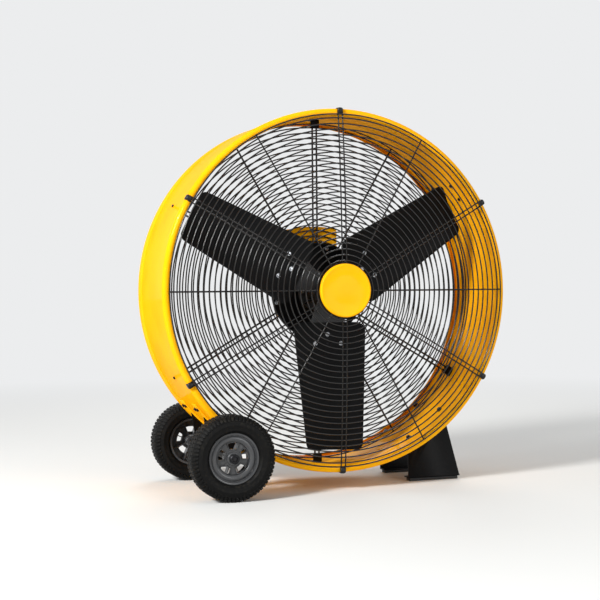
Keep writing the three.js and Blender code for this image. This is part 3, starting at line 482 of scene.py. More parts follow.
def box(low: Sequence[float], high: Sequence[float]) -> Shape:
    """A block between two opposite corners."""
    corners = [(low[1], low[2]), (high[1], low[2]), (high[1], high[2]), (low[1], high[2])]
    return lofted([[Vector((x, y, z)) for y, z in corners] for x in (low[0], high[0])])


def plate(outlines: Iterable[Sequence[Point]], y0: float, y1: float, edge: float) -> Shape:
    """A flat plate in the XZ plane with rounded edges, cut out of outlines and holes.

    Args:
        outlines: The outer outline and any holes, as (x, z).
        y0: One face.
        y1: The other face.
        edge: Radius of the rounded edges.

    Returns:
        The plate.
    """
    curve = bpy.data.curves.new("plate_outline", "CURVE")
    curve.dimensions = "2D"
    curve.fill_mode = "BOTH"
    curve.extrude = (y1 - y0) / 2 - edge
    curve.bevel_depth = edge
    curve.bevel_resolution = 2
    curve.offset = -edge
    for outline in outlines:
        spline = curve.splines.new("POLY")
        spline.points.add(len(outline) - 1)
        for point, (x, z) in zip(spline.points, outline):
            point.co = (x, z, 0, 1)
        spline.use_cyclic_u = True
    host = bpy.data.objects.new("plate_outline", curve)
    mesh = bpy.data.meshes.new_from_object(host)
    standing = Matrix.Translation((0, (y0 + y1) / 2, 0)) @ Matrix.Rotation(math.pi / 2, 4, "X")
    shape = Shape([standing @ v.co for v in mesh.vertices], [tuple(p.vertices) for p in mesh.polygons])
    bpy.data.objects.remove(host)
    bpy.data.curves.remove(curve)
    bpy.data.meshes.remove(mesh)
    return shape


def sheet_profile(line: Sequence[Point], thickness: float) -> list[Point]:
    """Thickens a centreline of (radius, y) points into the closed profile of a sheet.

    Args:
        line: The centreline.
        thickness: The sheet's thickness.

    Returns:
        The profile, down one side and back up the other.
    """

    def side(sign: int) -> list[Point]:
        """Shifts the centreline to one side.

        Args:
            sign: 1 or -1 for the side.

        Returns:
            The points of that side.
        """
        points = []
        for i, (r, y) in enumerate(line):
            r0, y0 = line[max(i - 1, 0)]
            r1, y1 = line[min(i + 1, len(line) - 1)]
            offset = sign * thickness / 2 / math.hypot(r1 - r0, y1 - y0)
            points.append((r - (y1 - y0) * offset, y + (r1 - r0) * offset))
        return points

    return side(1) + side(-1)[::-1]


# ---------------------------------------------------------------- pieces


def new_piece(name: str, mesh: bpy.types.Mesh) -> Piece:
    """Links a mesh into the scene as an object at the origin.

    Args:
        name: The object's name.
        mesh: The mesh.

    Returns:
        The object.
    """
    made = bpy.data.objects.new(name, mesh)
    bpy.context.scene.collection.objects.link(made)
    return made


def dress(piece: Piece, finish: Finish, nodes: Iterable[str] = (), body: Body = Body.FRAME) -> None:
    """Gives a piece its finish and ties it to the frame.

    Args:
        piece: The finished object.
        finish: Its surface.
        nodes: The CAD nodes that it stands for.
        body: The body that it rides on.
    """
    piece.data.materials.clear()
    piece.data.materials.append(finish.material())
    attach(piece, body.value)
    if nodes:
        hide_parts(*nodes)
    LOG.info("%s: %d faces", piece.name, len(piece.data.polygons))


def baked(piece: Piece) -> Piece:
    """Turns what a piece's modifiers make into its plain mesh, and takes the modifiers off.

    Args:
        piece: The object.

    Returns:
        The same object.
    """
    bpy.context.view_layer.update()
    graph = bpy.context.evaluated_depsgraph_get()
    evaluated = piece.evaluated_get(graph)
    mesh = bpy.data.meshes.new_from_object(evaluated, preserve_all_data_layers=True, depsgraph=graph)
    piece.modifiers.clear()
    piece.data = mesh
    return piece


def softened(piece: Piece, width: float, crease: float = 30.0, steps: int = 2) -> Piece:
    """Rounds a piece's sharp edges.

    Args:
        piece: The object.
        width: Width of the rounding.
        crease: Edges sharper than this many degrees are rounded.
        steps: Stretches in the rounding.

    Returns:
        The same object with a plain mesh.
    """
    bevel = piece.modifiers.new("round_edges", "BEVEL")
    bevel.width = width
    bevel.segments = steps
    bevel.limit_method = "ANGLE"
    bevel.angle_limit = math.radians(crease)
    bevel.harden_normals = True
    baked(piece)
    piece.data.shade_smooth()
    piece.data.set_sharp_from_angle(angle=math.radians(crease + CREASE_MARGIN))
    return piece


def make(
    name: str,
    shape: Shape,
    finish: Finish,
    nodes: Iterable[str] = (),
    body: Body = Body.FRAME,
    soft: Point = (0, 0),
) -> None:
    """Makes a dressed piece; soft is the width of its rounded edges and the least angle rounded."""
    piece = new_piece(name, shape.mesh(name))
    dress(softened(piece, *soft) if soft[0] else piece, finish, nodes, body)


def refine(name: str, node: str, width: float, finish: Finish, body: Body = Body.FRAME) -> None:
    """Makes a dressed copy of a folded CAD node with its corners merged and its edges rounded.

    Args:
        name: The new piece's name.
        node: The CAD node.
        width: Width of the rounding.
        finish: Its surface.
        body: The body that it rides on.
    """
    mesh = bpy.data.objects[node].data.copy()
    work = bmesh.new()
    work.from_mesh(mesh)
    bmesh.ops.remove_doubles(work, verts=work.verts, dist=MERGE_GAP)
    bmesh.ops.dissolve_limit(work, angle_limit=math.radians(2), verts=work.verts, edges=work.edges)
    work.to_mesh(mesh)
    work.free()
    mesh.name = name
    dress(softened(new_piece(name, mesh), width), finish, [node], body)


def grow(
    name: str, tree: Tree, finish: Finish, values: dict[str, Value], seed: bpy.types.Mesh | None = None
) -> Piece:
    """Runs a geometry node tree and keeps the result as a plain mesh.

    Args:
        name: The new piece's name.
        tree: The node tree.
        finish: The surface that it sets.
        values: Input name to value.
        seed: The mesh that goes in, if the tree takes one.

    Returns:
        The piece, not yet dressed.
    """
    piece = new_piece(name, seed or bpy.data.meshes.new(name))
    modifier = piece.modifiers.new("grow", "NODES")
    modifier.node_group = tree
    given = values | {"Finish": finish.material()}
    for socket in tree.interface.items_tree:
        if socket.in_out == "INPUT" and socket.name in given:
            modifier[socket.identifier] = given[socket.name]
    return baked(piece)


# ---------------------------------------------------------------- geometry node trees


class Recipe:
    """A geometry node tree with named inputs, and the groups of nodes that several trees share."""

    def __init__(self, name: str, **kinds: Sequence[str]) -> None:
        """Starts the tree.

        Args:
            name: The tree's name.
            **kinds: The end of a socket type, such as Float or Int, to the names of the inputs of that type.
        """
        self.tree = bpy.data.node_groups.new(name, "GeometryNodeTree")
        given = [(title, kind) for kind, titles in kinds.items() for title in titles]
        for socket, kind in [("Geometry", "Geometry"), *given, ("Finish", "Material")]:
            self.tree.interface.new_socket(name=socket, in_out="INPUT", socket_type="NodeSocket" + kind)
        self.tree.interface.new_socket(name="Geometry", in_out="OUTPUT", socket_type="NodeSocketGeometry")
        self.inputs = self.tree.nodes.new("NodeGroupInput").outputs

    def add(self, kind: str, inputs: dict | None = None, **settings: Value) -> Node:
        """Adds a node to the tree."""
        return add(self.tree, kind, inputs, **settings)

    def size(self, name: str) -> Term:
        """One of the tree's inputs, as a number."""
        return Term(self.tree, self.inputs[name])

    def index(self) -> Term:
        """The number of each copy."""
        return Term(self.tree, self.add("GeometryNodeInputIndex"))

    def vector(self, **axes: Value) -> Node:
        """A vector from its X, Y and Z, where those left out are 0."""
        return self.add("ShaderNodeCombineXYZ", axes)

    def points(self, count: Value, place: Value) -> Node:
        """So many points, each at its place."""
        made = self.add("GeometryNodePoints", {"Count": count})
        return self.add("GeometryNodeSetPosition", {"Geometry": made, "Position": place})

    def turned(self, angle: Term) -> Node:
        """The rotation by an angle round Y, counted from +X towards +Z."""
        return self.add("FunctionNodeEulerToRotation", {"Euler": self.vector(Y=angle * -1.0)})

    def copies(self, points: Value, shape: Value, **turn: Value) -> Node:
        """Copies of a shape on points."""
        return self.add("GeometryNodeInstanceOnPoints", {"Points": points, "Instance": shape, **turn})

    def wired(self, curves: Node, sides: int) -> Node:
        """Lays round wire along curves.

        Args:
            curves: Instances of the curves.
            sides: Number of flats round the wire.

        Returns:
            The wire with closed ends.
        """
        real = self.add("GeometryNodeRealizeInstances", {"Geometry": curves})
        round_wire = {"Resolution": sides, "Radius": self.size("Wire Radius")}
        section = self.add("GeometryNodeCurvePrimitiveCircle", round_wire)
        wire = {"Curve": real, "Profile Curve": section, "Fill Caps": True}
        return self.add("GeometryNodeCurveToMesh", wire)

    def domed(self, radius: Term) -> Term:
        """Depth of a guard at a radius: the rim's depth, less a rise that grows towards the middle."""
        share = radius / self.size("Rim Radius")
        return self.size("Rim Depth") - self.size("Rise") * (Term(self.tree, 1.0) - share * share)

    def end(self, last: Node) -> Tree:
        """Ends the tree with real geometry in the given finish.

        Args:
            last: The node whose geometry comes out.

        Returns:
            The finished tree.
        """
        real = self.add("GeometryNodeRealizeInstances", {"Geometry": last})
        finished = self.add("GeometryNodeSetMaterial", {"Geometry": real, "Material": self.inputs["Finish"]})
        self.add("NodeGroupOutput", {"Geometry": finished})
        return self.tree


GUARD_SIZES = ["Rim Radius", "Rim Depth", "Rise", "Wire Radius", "Axis Height"]
RING_POINTS = 144
RING_SIDES = 8
SPOKE_POINTS = 24
SPOKE_SIDES = 10
# A screw's sizes as shares of its head's radius.
SCREW_SHARES = {"Head Radius": 1.0, "Head Height": 0.75, "Washer Radius": 1.35, "Washer Height": 0.2}
HEAD_SIDES = 6
WASHER_SIDES = 28
CROWN_TAPER = 0.8
CROWN_HEIGHT = 0.25


def ring_tree() -> Tree:
    """Rings of wire round the fan's axis, on a dome or a plane.

    Returns:
        The node tree.
    """
    recipe = Recipe("guard_rings", Int=["Ring Count"], Float=["Rim Pitch", "Pitch", *GUARD_SIZES])
    index = recipe.index()
    first = index.by("MINIMUM", 1.0) * recipe.size("Rim Pitch")
    others = (index - 1.0).by("MAXIMUM", 0.0) * recipe.size("Pitch")
    radius = recipe.size("Rim Radius") - first - others
    centre = recipe.vector(Y=recipe.domed(radius), Z=recipe.size("Axis Height"))
    flat = recipe.add("GeometryNodeCurvePrimitiveCircle", {"Resolution": RING_POINTS, "Radius": 1.0})
    upright = recipe.add("GeometryNodeTransform", {"Geometry": flat, "Rotation": (math.pi / 2, 0, 0)})
    points = recipe.points(recipe.size("Ring Count"), centre)
    rings = recipe.copies(points, upright, Scale=recipe.vector(X=radius, Y=radius, Z=radius))
    return recipe.end(recipe.wired(rings, RING_SIDES))


def spoke_tree() -> Tree:
    """Radial wires, one or two side by side at each angle, following a dome or a plane.

    Returns:
        The node tree.
    """
    sizes = ["Spacing", "First Angle", "Inner Radius", "Outer Radius", *GUARD_SIZES]
    recipe = Recipe("guard_spokes", Int=["Spokes", "Copies"], Float=sizes)
    start, end = (recipe.vector(X=recipe.size(f"{word} Radius")) for word in ("Inner", "Outer"))
    straight = recipe.add("GeometryNodeCurvePrimitiveLine", {"Start": start, "End": end})
    line = recipe.add("GeometryNodeResampleCurve", {"Curve": straight, "Count": SPOKE_POINTS})
    place = recipe.add("GeometryNodeInputPosition")
    along = Term(recipe.tree, recipe.add("ShaderNodeSeparateXYZ", {"Vector": place}))
    bent = recipe.vector(X=along, Y=recipe.domed(along))
    wire = recipe.add("GeometryNodeSetPosition", {"Geometry": line, "Position": bent})
    index, copies = recipe.index(), recipe.size("Copies")
    spoke = ((index + 0.5) / copies).by("FLOOR")
    aside = (index - spoke * copies - (copies - 1.0) * 0.5) * recipe.size("Spacing")
    angle = recipe.size("First Angle") + spoke * (Term(recipe.tree, FULL_TURN) / recipe.size("Spokes"))
    upward = angle.by("COSINE") * aside + recipe.size("Axis Height")
    shift = recipe.vector(X=angle.by("SINE") * aside * -1.0, Z=upward)
    points = recipe.points(recipe.size("Spokes") * copies, shift)
    spokes = recipe.copies(points, wire, Rotation=recipe.turned(angle))
    return recipe.end(recipe.wired(spokes, SPOKE_SIDES))


def around_tree() -> Tree:
    """Copies of a shape round an axis along Y.

    Returns:
        The node tree.
    """
    recipe = Recipe("repeat_around", Int=["Count"], Float=["First Angle"], Vector=["Centre"])
    step = Term(recipe.tree, FULL_TURN) / recipe.size("Count")
    angle = recipe.size("First Angle") + recipe.index() * step
    points = recipe.points(recipe.size("Count"), recipe.inputs["Centre"])
    return recipe.end(recipe.copies(points, recipe.inputs["Geometry"], Rotation=recipe.turned(angle)))


def along_tree() -> Tree:
    """Copies of a shape in a row.

    Returns:
        The node tree.
    """
    recipe = Recipe("repeat_along", Int=["Count"], Vector=["Step"])
    by_index = {0: recipe.inputs["Step"], "Scale": recipe.index()}
    shift = recipe.add("ShaderNodeVectorMath", by_index, operation="SCALE")
    return recipe.end(recipe.copies(recipe.points(recipe.size("Count"), shift), recipe.inputs["Geometry"]))


def fastener_tree() -> Tree:
    """A hexagon screw with its washer at each point, its head along the point's facing.

    Returns:
        The node tree.
    """
    recipe = Recipe("fasteners", Float=list(SCREW_SHARES))
    head_radius, head_height, washer_radius, washer_height = (recipe.size(name) for name in SCREW_SHARES)
    head = {"Vertices": HEAD_SIDES, "Radius": head_radius, "Depth": head_height}
    taper = {"Radius Bottom": head_radius, "Radius Top": head_radius * CROWN_TAPER}
    crown = {"Vertices": HEAD_SIDES, **taper, "Depth": head_height * CROWN_HEIGHT}
    washer = {"Vertices": WASHER_SIDES, "Radius": washer_radius, "Depth": washer_height}
    parts = [
        ("Cylinder", head, head_height * 0.5 + washer_height),
        ("Cone", crown, head_height + washer_height),
        ("Cylinder", washer, washer_height * 0.5),
    ]
    whole = recipe.add("GeometryNodeJoinGeometry")
    for kind, inputs, height in parts:
        part = recipe.add("GeometryNodeMesh" + kind, inputs)
        lift = {"Geometry": part, "Translation": recipe.vector(Z=height)}
        feed(recipe.tree, whole, {"Geometry": recipe.add("GeometryNodeTransform", lift)})
    facing = recipe.add("GeometryNodeInputNamedAttribute", {"Name": "facing"}, data_type="FLOAT_VECTOR")
    upright = {"Vector": facing.outputs["Attribute"]}
    turn = recipe.add("FunctionNodeAlignRotationToVector", upright, axis="Z")
    return recipe.end(recipe.copies(recipe.inputs["Geometry"], whole, Rotation=turn))


@dataclass
class Workshop:
    """The node trees, each built once, and the calls that run them."""

    rings: Tree = field(default_factory=ring_tree)
    spokes: Tree = field(default_factory=spoke_tree)
    around: Tree = field(default_factory=around_tree)
    along: Tree = field(default_factory=along_tree)
    fasteners: Tree = field(default_factory=fastener_tree)

    def screws(
        self, name: str, seats: Sequence[Seat], head: float, finish: Finish = ZINC, body: Body = Body.FRAME
    ) -> None:
        """Makes hexagon screws on washers.

        Args:
            name: The new piece's name.
            seats: Where each one sits and which way its head points.
            head: The head's radius over its corners.
            finish: Their surface.
            body: The body that they ride on.
        """
        seed = bpy.data.meshes.new(name)
        seed.from_pydata([seat for seat, _ in seats], [], [])
        facing = seed.attributes.new("facing", "FLOAT_VECTOR", "POINT")
        facing.data.foreach_set("vector", [c for _, normal in seats for c in normal])
        values = {size: head * share for size, share in SCREW_SHARES.items()}
        dress(grow(name, self.fasteners, finish, values, seed), finish, body=body)

    def ring_of(
        self, name: str, shape: Shape, finish: Finish, count: int, centre: Sequence[float], first: float = 0.0
    ) -> Piece:
        """Copies a shape drawn with +X outwards round an axis along Y, from an angle in degrees on."""
        values = {"Count": count, "First Angle": math.radians(first), "Centre": tuple(centre)}
        return grow(name, self.around, finish, values, shape.mesh(name))

    def row_of(self, name: str, shape: Shape, finish: Finish, count: int, step: Sequence[float]) -> Piece:
        """Copies a shape in a row, with the same step from each copy to the next."""
        return grow(name, self.along, finish, {"Count": count, "Step": tuple(step)}, shape.mesh(name))


# ---------------------------------------------------------------- drum


@dataclass
class Drum:
    """The rolled steel band, with its edges rolled and a groove near the back."""

    shop: Workshop
    sheet: float = 2 * MM
    lip_step: float = 2 * MM
    front_roll: float = 12 * MM
    front_curl: int = 230
    front_curl_steps: int = 23
    rear_roll: float = 7 * MM
    rear_curl: int = 210
    rear_curl_steps: int = 15
    groove_depth: float = 4 * MM
    groove_width: float = 12 * MM
    groove_setback: float = 44 * MM
    groove_steps: int = 10
    facets: int = 288
    screw_angles: tuple[float, ...] = (152.0, 208.0)
    screw_setback: float = 141 * MM
    screw_head: float = 4 * MM

    def __post_init__(self) -> None:
        """Reads the drum's place and size from the frame."""
        low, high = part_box("drum_shell")
        self.radius = (high.x - low.x) / 2
        self.front, self.back = low.y, high.y
        self.height = (low.z + high.z) / 2
        self.axis = Matrix.Translation((0, 0, self.height))
        self.wall_outer = self.radius - self.lip_step
        self.wall_inner = self.wall_outer - self.sheet

    def centreline(self) -> list[Point]:
        """The sheet's centreline.

        Returns:
            Its points as (radius, y), from the front roll's free edge to the rear roll's.
        """
        half = self.sheet / 2
        wall = self.wall_outer - half
        groove = self.back - self.groove_setback
        places = [i / self.groove_steps - 0.5 for i in range(self.groove_steps + 1)]
        hollow = [
            (wall - self.groove_depth * (0.5 + 0.5 * math.cos(FULL_TURN * s)), groove + s * self.groove_width)
            for s in places
        ]
        front = (self.radius - self.front_roll, self.front + self.front_roll)
        rear = (self.radius - self.rear_roll, self.back - self.rear_roll)
        return [
            *arc(front, self.front_roll - half, -self.front_curl, 0, self.front_curl_steps),
            (wall, self.front + 2 * self.front_roll),
            *hollow,
            *arc(rear, self.rear_roll - half, 0, self.rear_curl, self.rear_curl_steps),
        ]

    def build(self) -> None:
        """Builds the band and the two screws through its left side."""
        band = turned(sheet_profile(self.centreline(), self.sheet), self.facets)
        make("drum_band", band.moved(self.axis), YELLOW_COAT, ["drum_shell"])
        seats = [self.on_wall(angle, self.front + self.screw_setback) for angle in self.screw_angles]
        self.shop.screws("band_screws", seats, self.screw_head, BLACK_OXIDE)

    def at_angle(self, degrees: float) -> Matrix:
        """The place of a piece drawn with +X outwards, once it stands at an angle round the axis."""
        return self.axis @ Matrix.Rotation(-math.radians(degrees), 4, "Y")

    def facing_front(self, radius: float, y: float, degrees: Iterable[float]) -> list[Seat]:
        """Seats round the axis on a flat face that looks to the front."""
        spots = [polar(radius, angle) for angle in degrees]
        return [(self.axis @ Vector((x, y, z)), Vector((0, -1, 0))) for x, z in spots]

    def on_wall(self, degrees: float, y: float, outside: bool = True) -> Seat:
        """A seat on the wall and the way that a screw's head points there.

        Args:
            degrees: Angle round the drum.
            y: Place along the axis.
            outside: Whether it is on the outside.

        Returns:
            The seat and the outward direction.
        """
        x, z = polar(1, degrees)
        out = Vector((x, 0, z))
        radius = self.wall_outer if outside else self.wall_inner
        return out * radius + Vector((0, y, self.height)), out if outside else -out


@dataclass
class Assembly:
    """What every sub-assembly in the drum is built with."""

    drum: Drum
    shop: Workshop


# ---------------------------------------------------------------- guards


@dataclass
class Guard(Assembly):
    """What both wire guards share: the spacing of their rings and spokes."""

    rim_radius: float = 541 * MM
    rim_pitch: float = 12 * MM
    pitch: float = 17.5 * MM
    pair_spacing: float = 14 * MM
    wire: float = 2.2 * MM
    spokes: int = 6
    pair_angle: float = 30.0
    # Rings and spokes are welded: their centres lie this share of a ring's radius past the spoke's skin.
    weld: float = 0.8

    def wires(self, name: str, tree: Tree, sizes: dict[str, Value], nodes: Iterable[str] = ()) -> None:
        """Grows a set of wires with its own sizes and those that both guards share, and dresses it."""
        shared = {"Rim Radius": self.rim_radius, "Axis Height": self.drum.height}
        dress(grow(name, tree, WIRE_COAT, shared | sizes), WIRE_COAT, nodes)

    def rings(self, name: str, smallest: float, depth: float, rise: float, node: str) -> None:
        """Builds the rings.

        Args:
            name: The piece's name.
            smallest: Least radius of a ring.
            depth: Y of the rim ring.
            rise: How far the middle is domed out.
            node: The CAD node that they stand for.
        """
        sizes = {
            "Ring Count": 2 + int((self.rim_radius - self.rim_pitch - smallest) / self.pitch),
            "Rim Pitch": self.rim_pitch,
            "Pitch": self.pitch,
            "Rim Depth": depth,
            "Rise": rise,
            "Wire Radius": self.wire,
        }
        self.wires(name, self.shop.rings, sizes, [node])

    def spoke_sets(
        self, word: str, inner: float, ends: Point, depth: float, rise: float, wire: float
    ) -> None:
        """Builds six doubled spokes and six single ones between them.

        Args:
            word: The guard's word in the names.
            inner: Inner radius of all.
            ends: Outer radius of the doubled and of the single ones.
            depth: Y at the rim.
            rise: How far the middle is domed out.
            wire: Radius of the wire.
        """
        sets = (("spoke_pairs", 2, self.pair_angle, ends[0]), ("spokes", 1, 0.0, ends[1]))
        for name, copies, first, end in sets:
            sizes = {
                "Spokes": self.spokes,
                "Copies": copies,
                "Spacing": self.pair_spacing,
                "First Angle": math.radians(first),
                "Inner Radius": inner,
                "Outer Radius": end,
                "Rim Depth": depth,
                "Rise": rise,
                "Wire Radius": wire,
            }
            self.wires(f"{word}_guard_{name}", self.shop.spokes, sizes)


@dataclass
class FrontGuard(Guard):
    """The domed guard at the outlet, with its middle plate, its cap and its clips."""

    standoff: float = 9.5 * MM
    rise: float = 26 * MM
    plate_radius: float = 86 * MM
    plate_sheet: float = 4 * MM
    plate_edge: float = 1 * MM
    cap_radius: float = 82 * MM
    cap_depth: float = 11.7 * MM
    cap_edge: float = 5 * MM
    cap_edge_turn: int = 100
    cap_edge_steps: int = 8
    cap_sheet: float = 2 * MM
    spoke_overlap: float = 4 * MM
    clip_width: float = 17 * MM
    clip_leg: float = 13 * MM
    clip_thickness: float = 2.4 * MM
    clip_bend: float = 6 * MM
    clip_bend_steps: int = 6
    clip_edge: float = 1.2 * MM
    # Share of the half width and how far the clip drops there, in millimetres.
    clip_droop: tuple[Point, ...] = ((-1, 3.2), (-0.6, 0.8), (0, 0), (0.6, 0.8), (1, 3.2))

    def build(self) -> None:
        """Builds the rings, spokes, plate, cap and clips."""
        rim = self.drum.front - self.standoff
        smallest = self.plate_radius + 2 * self.wire
        self.rings("front_guard_rings", smallest, rim, self.rise, "front_grille")
        end = self.rim_radius + self.wire
        behind = rim + (1 + self.weld) * self.wire
        inner = self.cap_radius - self.spoke_overlap
        self.spoke_sets("front", inner, (end, end), behind, self.rise, self.wire)
        crown = rim - self.rise
        front = crown + self.wire + SEAT_GAP
        disc = tube(self.plate_radius, 0, front, front + self.plate_sheet, self.plate_edge, DISC_FACETS)
        make("front_guard_plate", disc.moved(self.drum.axis), BLACK_COAT)
        self.build_cap(crown + self.wire)
        self.build_clips()

    def build_cap(self, back: float) -> None:
        """Builds the pressed cap: a plain face inside a raised, rounded edge.

        Args:
            back: Y of its open side.
        """
        face = back - self.cap_depth
        inside = self.cap_radius - self.cap_sheet
        rim = self.cap_radius - self.cap_edge
        profile = [
            *near(0, face, (0, 0.9)),
            *near(self.cap_radius * 0.5, face, (0, 1.2)),
            *near(rim, face, (-6, 1.6), (-3.5, 0.9)),
            *arc((rim, face + self.cap_edge), self.cap_edge, -self.cap_edge_turn, 0, self.cap_edge_steps),
            (self.cap_radius, back),
            (inside, back),
            (inside, face + self.cap_edge),
            *near(rim, face, (-4, 4)),
            *near(0, face, (0, 4)),
        ]
        cap = turned(profile, COVER_FACETS).moved(self.drum.axis)
        make("front_cap", cap, YELLOW_COAT, ["front_hub_cap"])

    def build_clips(self) -> None:
        """Builds the moulded caps that hook the doubled spokes over the front roll."""
        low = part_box("front_grille_clip_2")[0]
        inner = self.drum.radius + SEAT_GAP
        outer = inner + self.clip_thickness
        rim = low.z - self.drum.height
        seat = self.drum.front - SEAT_GAP
        end = self.drum.front + self.clip_leg
        bend = self.clip_bend
        sections = []
        for share, droop_mm in self.clip_droop:
            droop = droop_mm * MM
            z = share * self.clip_width / 2
            top, front = outer - droop / 2, low.y + droop
            corner = arc((top - bend, front + bend), bend, -90, 0, self.clip_bend_steps)
            side = [(rim, seat), (rim, front), *corner, *near(top, end, (0, -3), (-2, 0))]
            sections.append([Vector((r, y, z)) for r, y in (*side, (inner, end), (inner, seat))])
        centre = self.drum.axis.translation
        hook, name = lofted(sections), "front_guard_clips"
        clips = self.shop.ring_of(name, hook, BLACK_ABS, self.spokes, centre, self.pair_angle)
        nodes = [f"front_grille_clip_{i + 1}" for i in range(self.spokes)]
        dress(softened(clips, self.clip_edge), BLACK_ABS, nodes)


@dataclass
class RearGuard(Guard):
    """The flat guard inside the back of the drum, its hoop and its wall brackets."""

    setback: float = 235.5 * MM
    spoke_wire: float = 3 * MM
    smallest_ring: float = 156 * MM
    spoke_end: float = 547 * MM
    bracket_sheet: float = 3 * MM
    bracket_edge: float = 0.8 * MM
    hoop_inner: float = 136 * MM
    hoop_outer: float = 152 * MM
    hoop_overlap: float = 6 * MM
    screw_head: float = 5 * MM

    def build(self) -> None:
        """Builds the rings, spokes, hoop and brackets."""
        depth = self.drum.front + self.setback
        behind = depth + self.spoke_wire + self.weld * self.wire
        self.rings("rear_guard_rings", self.smallest_ring, behind, 0, "rear_grille")
        inner = self.hoop_inner + self.hoop_overlap
        self.spoke_sets("rear", inner, (self.spoke_end, self.rim_radius), depth, 0, self.spoke_wire)
        plate_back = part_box("mounting_plate")[1].y
        hoop = tube(self.hoop_outer, self.hoop_inner, plate_back + SEAT_GAP, depth, facets=DISC_FACETS)
        make("rear_guard_hoop", hoop.moved(self.drum.axis), BLACK_COAT)
        for i in range(1, self.spokes + 1):
            refine(f"rear_guard_bracket_{i}", f"rear_grille_bracket_{i}", self.bracket_edge, BLACK_COAT)
        self.build_screws()

    def build_screws(self) -> None:
        """Puts a screw through the foot of each bracket, with its head inside the drum."""
        low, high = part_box("rear_grille_bracket_2")
        foot = Vector((0, (low.y + high.y) / 2 + 1 * MM, high.z - self.bracket_sheet))
        axis = self.drum.axis
        seats = []
        for i in range(self.spokes):
            turn = Matrix.Rotation(math.radians(360 * i / self.spokes), 4, "Y")
            place = axis @ turn @ axis.inverted()
            seats.append((place @ foot, turn.to_3x3() @ Vector((0, 0, -1))))
        self.shop.screws("bracket_screws", seats, self.screw_head, BLACK_OXIDE)


# ---------------------------------------------------------------- rotor


